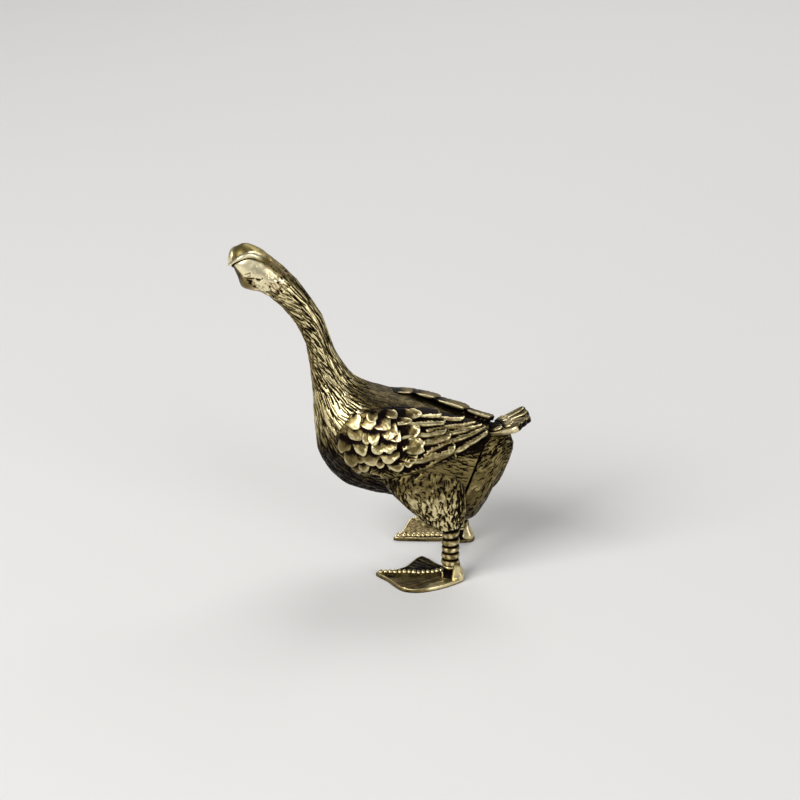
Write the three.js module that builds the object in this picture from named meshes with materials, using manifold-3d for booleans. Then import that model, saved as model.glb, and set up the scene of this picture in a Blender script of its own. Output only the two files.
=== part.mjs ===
// Standing goose ornament in cast brass: separate castings, brazed together at pegs, sockets and pins.
// Millimetres. +Z is up and Z = 0 is the ground. The goose faces -X, and its left side is -Y.
import * as THREE from "three";
import { mergeVertices } from "three/addons/utils/BufferGeometryUtils.js";
import Module from "manifold-3d";

const wasm = await Module();
wasm.setup();

// Joints between the castings
const brazeGap = 0.1; // film of braze between two castings
const pegRoot = 1; // how far a peg runs back into its own casting
const neckPegRadius = 1.5;
const neckPegLength = 3.2;
const headPegRadius = 1.0;
const headPegLength = 2.2;
const billPinRadius = 0.5;
const billPinLength = 1.4; // how far the upper bill's pin reaches into the head
const rumpPegRadius = 2.2;
const rumpPegLength = 3.0;
const wingPegRadius = 0.8;
const wingPegLength = 1.6; // how far a wing's peg reaches into the body
const thighPegRadius = 1.0;
const thighPegLength = 1.8; // how far a thigh's peg reaches into the body
const legPinRadius = 0.65;
const legPinLength = 1.3; // how far the shank's pins reach into the thigh and the ankle
const tangWidth = 2.4;
const tangThickness = 0.8;
const tangLength = 2.6; // how far the tail's tang reaches into the rump

// Legs and feet
const legSpacing = 11.8; // between the axes of the two shanks
const legX = 10.65;
const ankleHeight = 1.6; // top of the ankle above the ground
const ankleRadius = 1.75;
const shankLength = 6.0;
const shankRadius = 1.28; // over the rings
const ringGroove = 0.27; // depth of the groove between two rings
const ringCount = 5;
const footThickness = 0.5;
const middleToeRadius = 0.5;
const sideToeRadius = 0.35;
const knuckleCount = 11;
const knuckleDepth = 0.16;

// Tail, wings and eyes
const tailLength = 5.63; // of the middle feather
const tailShortening = 0.3; // how much shorter each feather is than its inner neighbour
const tailInset = 0.6; // how far forward of its tang the tail begins
const tailSpread = 42; // degrees from the first feather to the last
const tailPitch = 14; // degrees above level, of the middle feather
const tailCup = 6; // how many degrees steeper each feather is than its inner neighbour
const tailFeathers = 5;
const tailFeatherWidth = 1.8;
const tailThickness = 0.8;
const tailStep = 0.22; // how far each feather lies below its inner neighbour
const tailRootPitch = 0.55; // between the roots of two feathers
const wingThickness = 0.85;
const featherStep = 0.36; // how far a feather's tip stands over the feather behind it
const secondaryCount = 5;
const primaryCount = 5;
const covertRows = 6;
const covertColumns = 7;
const billOverhang = 0.22;
const eyeRadius = 0.34;

const hipHeight = ankleHeight + shankLength;
const legY = legSpacing / 2;

// The bird's outline in rings from the head to the flanks: the point on the throat and belly side and the point
// on the nape and back side, each as x and height above the hip, the half width, and how much fuller it is above
const neckRings = [
  { belly: [-15.0, 30.9], back: [-11.5, 33.6], half: 2.05, full: 0 },
  { belly: [-13.1, 29.1], back: [-9.7, 31.1], half: 1.95, full: 0 },
  { belly: [-11.6, 27.1], back: [-8.1, 28.6], half: 1.85, full: 0 },
  { belly: [-10.6, 25.0], back: [-7.2, 26.1], half: 1.8, full: 0 },
  { belly: [-10.1, 22.8], back: [-6.4, 23.7], half: 1.9, full: 0 },
  { belly: [-9.8, 20.4], back: [-5.3, 21.7], half: 2.3, full: 0 },
  { belly: [-9.55, 17.8], back: [-3.8, 19.7], half: 3.0, full: 0 },
];
const trunkRings = [
  { belly: [-9.4, 14.8], back: [-1.9, 18.6], half: 4.1, full: 0.04 },
  { belly: [-9.2, 11.6], back: [0.1, 18.0], half: 5.2, full: 0.1 },
  { belly: [-8.8, 8.5], back: [2.3, 17.4], half: 6.0, full: 0.15 },
  { belly: [-7.4, 5.9], back: [4.6, 16.8], half: 6.5, full: 0.2 },
  { belly: [-5.1, 3.8], back: [6.9, 16.1], half: 6.7, full: 0.22 },
  { belly: [-1.8, 2.8], back: [9.1, 15.4], half: 6.7, full: 0.22 },
  { belly: [2.4, 2.2], back: [11.2, 14.7], half: 6.5, full: 0.22 },
  { belly: [6.8, 1.0], back: [13.3, 13.9], half: 6.1, full: 0.22 },
  { belly: [10.4, -0.3], back: [15.3, 13.4], half: 5.4, full: 0.22 },
];
const wingTipRing = { belly: [13.4, -1.2], back: [17.3, 12.9], half: 4.6, full: 0.22 }; // guides the wings' tips
const bodyRings = [...neckRings, ...trunkRings, wingTipRing];
const neckSeam = neckRings.length - 1; // the ring where the neck meets the body
const flankSeam = neckSeam + trunkRings.length; // the ring where the rump meets the body
const flank = bodyRings[flankSeam];

// The head runs on forward from the first ring.
const headRings = [
  bodyRings[0],
  { belly: [-16.4, 31.7], back: [-12.9, 34.9], half: 2.2, full: 0 },
  { belly: [-17.7, 31.9], back: [-14.4, 36.2], half: 2.35, full: 0 },
  { belly: [-18.8, 32.2], back: [-15.9, 37.2], half: 2.4, full: 0 },
  { belly: [-19.4, 32.9], back: [-17.4, 37.9], half: 2.25, full: 0 },
  { belly: [-19.7, 33.8], back: [-18.8, 38.2], half: 1.95, full: 0 },
  { belly: [-20.1, 34.8], back: [-20.0, 37.8], half: 1.4, full: 0 },
];
const headTip = [-20.8, 36.3];
const eyePlace = { station: 1.15, angle: 68 };

// The rump runs back from the flanks: its rings' points lie this far from those of the ring at the seam, and its
// half widths are this much less.
const rumpSteps = [
  { belly: [0.3, -0.2], back: [0, -0.2], slimmer: 0.8, full: 0.15 },
  { belly: [2.2, -0.7], back: [1.4, -0.3], slimmer: 1.2, full: 0.15 },
  { belly: [3.9, 1.1], back: [2.6, -0.8], slimmer: 2.1, full: 0.15 },
  { belly: [5.5, 4.4], back: [3.2, -2.1], slimmer: 3.5, full: 0.1 },
];
const rumpRings = rumpSteps.map(({ belly, back, slimmer, full }) => ({
  belly: [flank.belly[0] + belly[0], flank.belly[1] + belly[1]],
  back: [flank.back[0] + back[0], flank.back[1] + back[1]],
  half: flank.half - slimmer,
  full,
}));
const rumpTip = [flank.back[0] + 2.5, flank.back[1] - 5.7];

// The slit under the crown and the upper bill, seen from the side, as x and height above the hip.
const mouthLine = [
  [-21.8, 34.9],
  [-20.4, 35.5],
  [-19.2, 36.5],
  [-17.6, 37.0],
  [-15.9, 36.3],
  [-14.6, 35.5],
  [-13.8, 35.8],
];

// Where a wing lies on the body, from the shoulder to the tip: its upper and lower edges, each as a ring number
// and degrees round from the back
const wingRibs = [
  { upper: [7.9, 74], lower: [8.5, 102] },
  { upper: [8.6, 40], lower: [10.3, 111] },
  { upper: [9.6, 18], lower: [11.8, 104] },
  { upper: [11.0, 9], lower: [12.9, 79] },
  { upper: [12.9, 7], lower: [13.95, 51] },
  { upper: [15.15, 9], lower: [15.1, 26] },
];
const wingPegPlace = { station: 10.6, angle: 62, proud: 0.4 };
const wingEdgeRoom = 0.02; // share of a wing's width kept free along its edges by what lies against it
const covertEnd = 0.38; // shares of the wing's length
const secondaryEnd = 0.6;
const tipLean = 0.2; // how much further back the feathers end at the lower edge

// Level slices of a thigh from the shank up: height above the hip, then front, rear, inner and outer sides from
// the leg's axis
const thighSlices = [
  { up: 0, front: -1.3, rear: 1.5, inner: -1.3, outer: 1.3 },
  { up: 0.6, front: -2.9, rear: 1.8, inner: -1.7, outer: 1.5 },
  { up: 1.7, front: -4.6, rear: 1.9, inner: -2.2, outer: 1.65 },
  { up: 3.2, front: -6.4, rear: 1.95, inner: -2.8, outer: 1.65 },
  { up: 5.2, front: -8.6, rear: 1.9, inner: -3.2, outer: 1.5 },
  { up: 7.4, front: -9.8, rear: 1.6, inner: -3.4, outer: 1.2 },
  { up: 9.6, front: -7.4, rear: 0.4, inner: -3.4, outer: 0.3 },
];
const thighSquareness = 0.8; // 1 makes the slices plain ellipses, less makes them fuller at the corners
const thighPegPlace = { station: 13.5, angle: 112, proud: 0.8 };

// The webbed feet seen from above, from the leg's axis: forward is -x, and outwards is +y. The right foot has no
// web on its inner side.
const leftFoot = {
  turn: 4, // degrees outwards
  edge: [
    [-10.4, 0.3],
    [-8.7, 1.9],
    [-6.9, 4.1],
    [-5.5, 4.78],
    [-3.6, 4.65],
    [-1.0, 3.4],
    [1.4, 1.5],
    [1.9, 0.5],
    [1.9, -0.6],
    [0.6, -1.6],
    [-1.9, -3.1],
    [-3.3, -4.6],
    [-4.2, -5.1],
    [-5.0, -4.6],
    [-5.6, -3.5],
    [-6.5, -1.9],
    [-8.0, -0.95],
    [-10.2, -0.4],
  ],
  toes: [
    [-6.1, 4.2],
    [-4.3, -4.7],
  ],
  middleToe: -10.0,
};
const rightFoot = {
  turn: -10,
  edge: [
    [-9.5, 0.3],
    [-8.6, 1.4],
    [-7.9, 3.2],
    [-7.2, 5.4],
    [-6.1, 6.29],
    [-4.6, 5.5],
    [-3.0, 4.0],
    [-1.0, 3.1],
    [1.3, 1.6],
    [2.1, 0.6],
    [2.1, -0.6],
    [1.2, -1.4],
    [-2.0, -0.95],
    [-9.3, -0.4],
  ],
  toes: [[-6.5, 5.5]],
  middleToe: -9.1,
};

// How finely the skins are divided
const bodySides = 28;
const neckSides = 18;
const rowsPerRing = 3;
const wingRows = 44;
const wingAcross = 18;
const wingInnerAcross = 9;
const roundSides = 14;

const at = (x, y, z) => new THREE.Vector3(x, y, z);
const radians = THREE.MathUtils.degToRad;
const middle = (points) =>
  points.reduce((sum, point) => sum.add(point), at(0, 0, 0)).divideScalar(points.length);
const fraction = (value) => value - Math.floor(value);

// A three.js geometry as a solid that can be cut and joined
function solid(geometry) {
  const bare = geometry.index ? geometry.toNonIndexed() : geometry.clone();
  bare.deleteAttribute("normal");
  bare.deleteAttribute("uv");
  const merged = mergeVertices(bare, 1e-4);
  const made = new wasm.Manifold(
    new wasm.Mesh({
      numProp: 3,
      vertProperties: merged.attributes.position.array,
      triVerts: new Uint32Array(merged.index.array),
    }),
  );
  if (made.volume() <= 0) throw new Error("a surface faces inwards");
  return made;
}

// A closed skin over rows of points that all go round the same way, with a point closing each end
function loft(rows, startTip = middle(rows[0]), endTip = middle(rows.at(-1))) {
  const around = rows[0].length;
  const points = [...rows.flat(), startTip, endTip];
  const start = points.length - 2;
  const end = points.length - 1;
  const last = (rows.length - 1) * around;
  const faces = [];
  for (let k = 0; k < around; k++) {
    const next = (k + 1) % around;
    faces.push(start, next, k);
    for (let row = 0; row < last; row += around) {
      faces.push(row + k, row + next, row + next + around);
      faces.push(row + k, row + next + around, row + k + around);
    }
    faces.push(end, last + k, last + next);
  }
  let volume = 0;
  for (let k = 0; k < faces.length; k += 3) {
    const [a, b, c] = faces.slice(k, k + 3).map((corner) => points[corner]);
    volume += a.dot(b.clone().cross(c));
  }
  if (volume < 0) faces.reverse();
  const geometry = new THREE.BufferGeometry().setFromPoints(points);
  geometry.setIndex(faces);
  return solid(geometry);
}

// A round bar between two points, thinner towards its far end if an end radius is given
function rod(from, to, radius, endRadius = radius) {
  const along = to.clone().sub(from);
  const geometry = new THREE.CylinderGeometry(endRadius, radius, along.length(), roundSides);
  geometry.applyQuaternion(new THREE.Quaternion().setFromUnitVectors(at(0, 1, 0), along.normalize()));
  geometry.translate(...from.clone().lerp(to, 0.5));
  return solid(geometry);
}

// An outline in the x, z plane drawn out to both sides of the middle plane
function sideSlab(outline, halfDepth) {
  const shape = new THREE.Shape(outline.map(([x, z]) => new THREE.Vector2(x, z)));
  const geometry = new THREE.ExtrudeGeometry(shape, { depth: 2 * halfDepth, bevelEnabled: false });
  geometry.rotateX(Math.PI / 2);
  geometry.translate(0, halfDepth, 0);
  return solid(geometry);
}

// A casting's outline as smooth lines through its rings
function outlineThrough(rings) {
  const line = (pick) => new THREE.CatmullRomCurve3(rings.map(pick), false, "catmullrom");
  return {
    belly: line(({ belly }) => at(belly[0], 0, hipHeight + belly[1])),
    back: line(({ back }) => at(back[0], 0, hipHeight + back[1])),
    girth: line(({ half, full }) => at(half, full, 0)),
    last: rings.length - 1,
  };
}

// The point of a ring at an angle round from the back, moved outwards by a distance
function skinPoint(outline, station, angle, outwards = 0) {
  const share = station / outline.last;
  const belly = outline.belly.getPoint(share);
  const back = outline.back.getPoint(share);
  const girth = outline.girth.getPoint(share);
  const up = back.clone().sub(belly).divideScalar(2);
  const tall = up.length();
  const rise = (tall + outwards) * Math.cos(angle);
  const width = (girth.x + outwards) * Math.sin(angle) * (1 + girth.y * Math.cos(angle));
  return belly.add(up).addScaledVector(up, rise / tall).add(at(0, width, 0));
}

function ring(outline, station, sides, outwards = 0) {
  const points = [];
  for (let k = 0; k < sides; k++) {
    points.push(skinPoint(outline, station, (2 * Math.PI * k) / sides, outwards));
  }
  return points;
}

function ringsBetween(outline, from, to, sides, outwards = 0) {
  const count = Math.max(1, Math.round((to - from) * rowsPerRing));
  const rows = [];
  for (let k = 0; k <= count; k++) rows.push(ring(outline, from + ((to - from) * k) / count, sides, outwards));
  return rows;
}

// The middle of a ring, and how many stations a distance is there
const ringCentre = (outline, station) =>
  skinPoint(outline, station, 0).add(skinPoint(outline, station, Math.PI)).divideScalar(2);
const stationsIn = (outline, station, distance) =>
  distance / ringCentre(outline, station).distanceTo(ringCentre(outline, station + 0.5)) / 2;

const body = outlineThrough(bodyRings);
const head = outlineThrough(headRings);
const rump = outlineThrough(rumpRings);
const neckTop = ringCentre(body, 0);
const neckFoot = ringCentre(body, neckSeam);
const rumpFoot = ringCentre(body, flankSeam);
const neckTopAxis = ringCentre(body, 0.5).sub(neckTop).normalize().negate();
const neckFootAxis = ringCentre(body, neckSeam + 0.5).sub(neckFoot).normalize();
const rumpAxis = ringCentre(body, flankSeam - 0.5).sub(rumpFoot).normalize();

// A peg from inside one casting into the next, or the socket that takes it with its film of braze
function peg(root, direction, back, length, radius, gap = 0) {
  const from = root.clone().addScaledVector(direction, -back);
  const to = root.clone().addScaledVector(direction, length + gap);
  return rod(from, to, radius + gap);
}

const neckLowerPeg = (gap) => peg(neckFoot, neckFootAxis, pegRoot, neckPegLength, neckPegRadius, gap);
const neckUpperPeg = (gap) => peg(neckTop, neckTopAxis, pegRoot, headPegLength, headPegRadius, gap);
const rumpPeg = (gap) => peg(rumpFoot, rumpAxis, pegRoot, rumpPegLength, rumpPegRadius, gap);

// A peg of a wing or a thigh runs in towards the middle of the body from a place on its side.
function sidePeg(side, { station, angle, proud }, length, radius, gap) {
  const root = skinPoint(body, station, side * radians(angle));
  const direction = ringCentre(body, station).sub(root).normalize();
  return peg(root, direction, proud, length, radius, gap);
}
const wingPeg = (side, gap) => sidePeg(side, wingPegPlace, wingPegLength, wingPegRadius, gap);
const thighPeg = (side, gap) => sidePeg(side, thighPegPlace, thighPegLength, thighPegRadius, gap);

// The upper bill and crown sit on the head over the slit, held by a pin
function billSpace(lowered) {
  const points = mouthLine.map(([x, z]) => new THREE.Vector2(x, hipHeight + z - lowered));
  const slit = new THREE.SplineCurve(points).getPoints(28).map(({ x, y }) => [x, y]);
  const top = hipHeight + headTip[1] + 6;
  return sideSlab([...slit, [slit.at(-1)[0], top], [slit[0][0], top]], 5);
}

function billPin(gap) {
  const root = at(mouthLine[3][0], 0, hipHeight + mouthLine[3][1]);
  return peg(root, at(0, 0, -1), 0.5, billPinLength, billPinRadius, gap);
}

function headSolid() {
  const tip = at(headTip[0], 0, hipHeight + headTip[1]);
  const rows = ringsBetween(head, 0, head.last, neckSides);
  let made = loft(rows, undefined, tip);
  for (const side of [-1, 1]) {
    const eye = new THREE.SphereGeometry(eyeRadius, 10, 8);
    eye.translate(...skinPoint(head, eyePlace.station, side * radians(eyePlace.angle)));
    made = made.add(solid(eye));
  }
  return made.subtract(billSpace(brazeGap)).subtract(billPin(brazeGap)).subtract(neckUpperPeg(brazeGap));
}

function upperBill() {
  const tip = at(headTip[0] - billOverhang, 0, hipHeight + headTip[1]);
  const rows = ringsBetween(head, 0, head.last, neckSides, billOverhang);
  return loft(rows, undefined, tip).intersect(billSpace(0)).add(billPin(0));
}

function neckSolid() {
  const from = stationsIn(body, 0, brazeGap);
  const to = neckSeam - stationsIn(body, neckSeam, brazeGap);
  return loft(ringsBetween(body, from, to, neckSides)).add(neckLowerPeg(0)).add(neckUpperPeg(0));
}

function bodySolid() {
  let made = loft(ringsBetween(body, neckSeam, flankSeam, bodySides));
  made = made.subtract(neckLowerPeg(brazeGap)).subtract(rumpPeg(brazeGap));
  for (const side of [-1, 1]) {
    made = made.subtract(wingPeg(side, brazeGap)).subtract(thighPeg(side, brazeGap));
  }
  return made;
}

// The rump closes the body behind the flanks, and the tail's tang is brazed into its slot.
function rumpSolid() {
  const from = stationsIn(rump, 0, brazeGap);
  const tip = at(rumpTip[0], 0, hipHeight + rumpTip[1]);
  const rows = ringsBetween(rump, from, rump.last, bodySides);
  return loft(rows, undefined, tip).add(rumpPeg(0)).subtract(tailTang(brazeGap));
}

// Height of the feathers over a wing, from 0 at a feather's root to 1 at its tip or its lower edge
function featherHeight(along, across) {
  const leaned = along - tipLean * across;
  const tipRound = (count, depth) => depth * (2 * fraction(across * count) - 1) ** 2;
  if (leaned < covertEnd - tipRound(covertColumns / 2, 0.04)) {
    const place = (leaned / covertEnd) * covertRows;
    let row = Math.floor(place);
    const round = (one) => (2 * fraction(across * covertColumns + one / 2) - 1) ** 2 / 2;
    if (place > row + 1 - round(row)) row += 1;
    return 0.2 + 0.8 * (place - row + 0.5);
  }
  const long = leaned < secondaryEnd - tipRound(secondaryCount, 0.05);
  const share = fraction(across * (long ? secondaryCount : primaryCount));
  const rise = long ? (leaned - covertEnd) / (secondaryEnd - covertEnd) : 0;
  return 0.15 + 0.5 * share + 0.35 * Math.max(0, rise);
}

function wingLine(edge) {
  const points = wingRibs.map((rib) => new THREE.Vector2(rib[edge][0], rib[edge][1]));
  return new THREE.SplineCurve(points);
}
const wingUpper = wingLine("upper");
const wingLower = wingLine("lower");

// A point over the body where a wing lies, at a share along the wing and a share across it
function wingPoint(side, along, across, outwards) {
  const place = wingUpper.getPoint(along).lerp(wingLower.getPoint(along), across);
  return skinPoint(body, place.x, side * radians(place.y), outwards);
}

function wingHeight(along, across) {
  const fromEdge = Math.min(1, 10 * across, 10 * (1 - across));
  const rise = Math.min(1, 0.35 + 4 * along) * (0.6 + 0.4 * fromEdge);
  return brazeGap + wingThickness * rise + featherStep * featherHeight(along, across) * rise;
}

function wingSolid(side) {
  const rows = [];
  for (let row = 0; row <= wingRows; row++) {
    const along = row / wingRows;
    const points = [];
    for (let k = 0; k <= wingAcross; k++) {
      const across = k / wingAcross;
      points.push(wingPoint(side, along, across, wingHeight(along, across)));
    }
    for (let k = wingInnerAcross; k >= 0; k--) {
      points.push(wingPoint(side, along, k / wingInnerAcross, brazeGap));
    }
    rows.push(points);
  }
  const tips = [0, 1].map((along) => wingPoint(side, along, 0.5, (brazeGap + wingHeight(along, 0.5)) / 2));
  return loft(rows, ...tips).add(wingPeg(side, 0));
}

// The space of a wing with a film of braze round it, cut out of what lies against it
function wingSpace(side) {
  const rows = [];
  for (let row = 0; row <= wingRows / 2; row++) {
    const along = row / (wingRows / 2);
    const points = [];
    for (const outwards of [wingThickness + 2, -1]) {
      for (let k = 0; k <= wingInnerAcross; k++) {
        const share = outwards > 0 ? k / wingInnerAcross : 1 - k / wingInnerAcross;
        points.push(wingPoint(side, along, share * (1 + 2 * wingEdgeRoom) - wingEdgeRoom, outwards));
      }
    }
    rows.push(points);
  }
  return loft(rows);
}

// A thigh is cut to the body's side and to the wing above it.
function thighSolid(side) {
  const lines = ["front", "rear", "inner", "outer"].map(
    (key) => new THREE.SplineCurve(thighSlices.map((slice) => new THREE.Vector2(slice[key], slice.up))),
  );
  const fuller = (share) => Math.sign(share) * Math.abs(share) ** thighSquareness;
  const count = (thighSlices.length - 1) * 2;
  const rows = [];
  for (let row = 0; row <= count; row++) {
    const [front, rear, inner, outer] = lines.map((line) => line.getPoint(row / count));
    const points = [];
    for (let k = 0; k < neckSides; k++) {
      const angle = (2 * Math.PI * k) / neckSides;
      const x = (front.x + rear.x) / 2 + ((rear.x - front.x) / 2) * fuller(Math.cos(angle));
      const y = (inner.x + outer.x) / 2 + ((outer.x - inner.x) / 2) * fuller(Math.sin(angle));
      points.push(at(legX + x, side * (legY + y), hipHeight + front.y));
    }
    rows.push(points);
  }
  const skin = loft(ringsBetween(body, neckSeam, flankSeam, bodySides, brazeGap));
  const rumpSkin = loft(ringsBetween(rump, 0, rump.last, bodySides, brazeGap));
  const cut = loft(rows).subtract(skin).subtract(rumpSkin).subtract(wingSpace(side));
  return cut.add(thighPeg(side, 0)).subtract(legPins(side, brazeGap));
}

const legPoint = (side, height) => at(legX, side * legY, height);

// The pins at both ends of a shank, in one bar, or the sockets that take them
function legPins(side, gap) {
  const from = legPoint(side, ankleHeight - legPinLength - gap);
  return rod(from, legPoint(side, hipHeight + legPinLength + gap), legPinRadius + gap);
}

// A shank turned with rings, with a pin at each end
function shankSolid(side) {
  const bottom = ankleHeight + brazeGap;
  const top = hipHeight - brazeGap;
  const pitch = (top - bottom) / ringCount;
  const profile = [new THREE.Vector2(0, bottom)];
  for (let one = 0; one < ringCount; one++) {
    for (const [share, depth] of [[0.04, 1], [0.3, 0], [0.7, 0], [0.96, 1]]) {
      profile.push(new THREE.Vector2(shankRadius - depth * ringGroove, bottom + (one + share) * pitch));
    }
  }
  profile[1].y = bottom;
  profile.at(-1).y = top;
  profile.push(new THREE.Vector2(0, top));
  const geometry = new THREE.LatheGeometry(profile, roundSides);
  geometry.rotateX(Math.PI / 2);
  geometry.translate(legX, side * legY, 0);
  return solid(geometry).add(legPins(side, 0));
}

// A webbed foot: a flat plate, two plain toe ridges, a knuckled middle toe and the ankle, all in one casting
function footSolid(side, { turn, edge, toes, middleToe }) {
  const place = (x, y, z) => {
    const point = at(x, side * y, 0).applyAxisAngle(at(0, 0, 1), -side * radians(turn));
    return point.add(legPoint(side, z));
  };
  const shape = new THREE.Shape();
  edge.forEach(([x, y], k) => {
    const point = place(x, y, 0);
    if (k === 0) shape.moveTo(point.x, point.y);
    else shape.lineTo(point.x, point.y);
  });
  let made = solid(new THREE.ExtrudeGeometry(shape, { depth: footThickness, bevelEnabled: false }));
  for (const toe of toes) {
    const ridge = [place(0, 0, footThickness), place(...toe, footThickness)];
    made = made.add(rod(...ridge, sideToeRadius, sideToeRadius * 0.7));
  }
  const rows = [];
  const count = 2 * knuckleCount;
  for (let row = 0; row <= count; row++) {
    const share = row / count;
    const taper = 1 - 0.35 * share;
    const radius = (middleToeRadius - (row % 2 ? 0 : knuckleDepth)) * taper;
    const points = [];
    for (let k = 0; k < 8; k++) {
      const angle = (Math.PI * (k + 0.5)) / 4;
      const height = footThickness + radius * Math.sin(angle) * 0.95;
      points.push(place(middleToe * share, radius * Math.cos(angle), height));
    }
    rows.push(points);
  }
  made = made.add(loft(rows));
  made = made.add(rod(place(0, 0, footThickness / 2), place(0, 0, ankleHeight), ankleRadius, shankRadius));
  return made.subtract(legPins(side, brazeGap));
}

// The tail's root lies on top of the rump; its tang goes down into the rump.
const tailRoot = skinPoint(rump, 0.6, 0);

function tailTang(gap) {
  const box = new THREE.BoxGeometry(tangThickness + 2 * gap, tangWidth + 2 * gap, tangLength + 1 + gap);
  box.translate(tailRoot.x, 0, tailRoot.z + 1 - (tangLength + 1 + gap) / 2);
  return solid(box);
}

function tailSolid() {
  const outline = [
    [0, -0.5],
    [0.55, -0.62],
    [0.85, -0.5],
    [0.97, -0.26],
    [1, 0],
    [0.97, 0.26],
    [0.85, 0.5],
    [0.55, 0.62],
    [0, 0.5],
  ];
  let made = tailTang(0);
  for (let one = 0; one < tailFeathers; one++) {
    const fromMiddle = one - (tailFeathers - 1) / 2;
    const outwards = Math.abs(fromMiddle);
    const length = tailLength - outwards * tailShortening;
    const shape = new THREE.Shape(
      outline.map(([x, y]) => new THREE.Vector2(x * length, (y * tailFeatherWidth) / 1.24)),
    );
    const feather = new THREE.ExtrudeGeometry(shape, { depth: tailThickness, bevelEnabled: false });
    feather.rotateZ(radians((fromMiddle * tailSpread) / (tailFeathers - 1)));
    feather.translate(0, fromMiddle * tailRootPitch, -tailStep * outwards);
    feather.rotateY(-radians(tailPitch + tailCup * outwards));
    feather.translate(tailRoot.x - tailInset, 0, tailRoot.z);
    made = made.add(solid(feather));
  }
  const rumpSkin = loft(ringsBetween(rump, 0, rump.last, bodySides, brazeGap));
  const upperRoom = rumpSkin.subtract(tailTang(0.001));
  return made.subtract(upperRoom).subtract(wingSpace(-1)).subtract(wingSpace(1));
}

// Brass, darkened in the recesses and rubbed bright on top: each casting has its own shade of it.
function brass(color, roughness) {
  return new THREE.MeshStandardMaterial({ color, roughness, metalness: 1 });
}

const goose = new THREE.Group();

function addPiece(name, made, color, roughness) {
  const { vertProperties, triVerts } = made.getMesh();
  const geometry = new THREE.BufferGeometry();
  geometry.setAttribute("position", new THREE.BufferAttribute(vertProperties, 3));
  geometry.setIndex(new THREE.BufferAttribute(triVerts, 1));
  geometry.computeVertexNormals();
  const piece = new THREE.Mesh(geometry, brass(color, roughness));
  piece.name = name;
  goose.add(piece);
}

addPiece("body", bodySolid(), 0x8a7440, 0.42);
addPiece("neck", neckSolid(), 0x9a8448, 0.4);
addPiece("head", headSolid(), 0xb09a58, 0.34);
addPiece("upper_bill", upperBill(), 0xc4ae68, 0.3);
addPiece("rump", rumpSolid(), 0x80693a, 0.44);
addPiece("tail", tailSolid(), 0x9c8650, 0.38);
for (const [name, side, foot] of [["left", -1, leftFoot], ["right", 1, rightFoot]]) {
  addPiece(`${name}_wing`, wingSolid(side), 0xa89052, 0.36);
  addPiece(`${name}_thigh`, thighSolid(side), 0x937c44, 0.4);
  addPiece(`${name}_shank`, shankSolid(side), 0xa8925a, 0.36);
  addPiece(`${name}_foot`, footSolid(side, foot), 0x8c7640, 0.4);
}

export default goose;
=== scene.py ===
import math

import bpy
import numpy as np
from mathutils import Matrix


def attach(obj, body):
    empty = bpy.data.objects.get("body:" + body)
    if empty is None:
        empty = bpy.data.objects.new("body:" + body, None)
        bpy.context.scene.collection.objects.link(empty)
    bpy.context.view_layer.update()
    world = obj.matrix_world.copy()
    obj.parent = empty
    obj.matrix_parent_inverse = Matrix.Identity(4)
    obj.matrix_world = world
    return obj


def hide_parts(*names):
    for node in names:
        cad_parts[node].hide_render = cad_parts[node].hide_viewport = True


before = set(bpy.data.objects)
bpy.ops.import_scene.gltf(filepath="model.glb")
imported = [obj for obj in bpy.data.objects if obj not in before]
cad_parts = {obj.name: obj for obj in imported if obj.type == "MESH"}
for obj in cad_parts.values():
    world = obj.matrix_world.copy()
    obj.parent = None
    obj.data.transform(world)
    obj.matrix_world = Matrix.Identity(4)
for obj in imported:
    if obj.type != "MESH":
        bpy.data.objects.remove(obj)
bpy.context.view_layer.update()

# Body and neck. Two solid brass castings brazed end to end and filed flush. The plumage was cut into the wax
# before casting and runs on over the joint. All sizes are millimetres until a mesh is written.
MM = 0.001
HIP_HEIGHT = 7.6
LEFT, RIGHT = -1, 1
SIDES = ((LEFT, "left"), (RIGHT, "right"))

# Rings from the head to the flanks: the throat or belly point, the nape or back point, the half width, and
# how much fuller the ring is above its middle. Each point is x and height above the hip.
BODY_RINGS = [
    (-15.0, 30.9, -11.5, 33.6, 2.05, 0),
    (-13.1, 29.1, -9.7, 31.1, 1.95, 0),
    (-11.6, 27.1, -8.1, 28.6, 1.85, 0),
    (-10.6, 25.0, -7.2, 26.1, 1.8, 0),
    (-10.1, 22.8, -6.4, 23.7, 1.9, 0),
    (-9.8, 20.4, -5.3, 21.7, 2.3, 0),
    (-9.55, 17.8, -3.8, 19.7, 3.0, 0),
    (-9.4, 14.8, -1.9, 18.6, 4.1, 0.04),
    (-9.2, 11.6, 0.1, 18.0, 5.2, 0.1),
    (-8.8, 8.5, 2.3, 17.4, 6.0, 0.15),
    (-7.4, 5.9, 4.6, 16.8, 6.5, 0.2),
    (-5.1, 3.8, 6.9, 16.1, 6.7, 0.22),
    (-1.8, 2.8, 9.1, 15.4, 6.7, 0.22),
    (2.4, 2.2, 11.2, 14.7, 6.5, 0.22),
    (6.8, 1.0, 13.3, 13.9, 6.1, 0.22),
    (10.4, -0.3, 15.3, 13.4, 5.4, 0.22),
    (13.4, -1.2, 17.3, 12.9, 4.6, 0.22),
]
NECK_SEAM = 6
FLANK_SEAM = 15
NECK_GRID = (210, 210)
BODY_GRID = (210, 330)


def through(points, ends="reflected"):
    """Control points for a smooth line through rows of numbers, with one more beyond each end."""
    points = np.array(points, float)
    if ends == "reflected":
        before, after = 2 * points[0] - points[1], 2 * points[-1] - points[-2]
    else:
        before, after = points[0], points[-1]
    return np.vstack([before, points, after])


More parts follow.
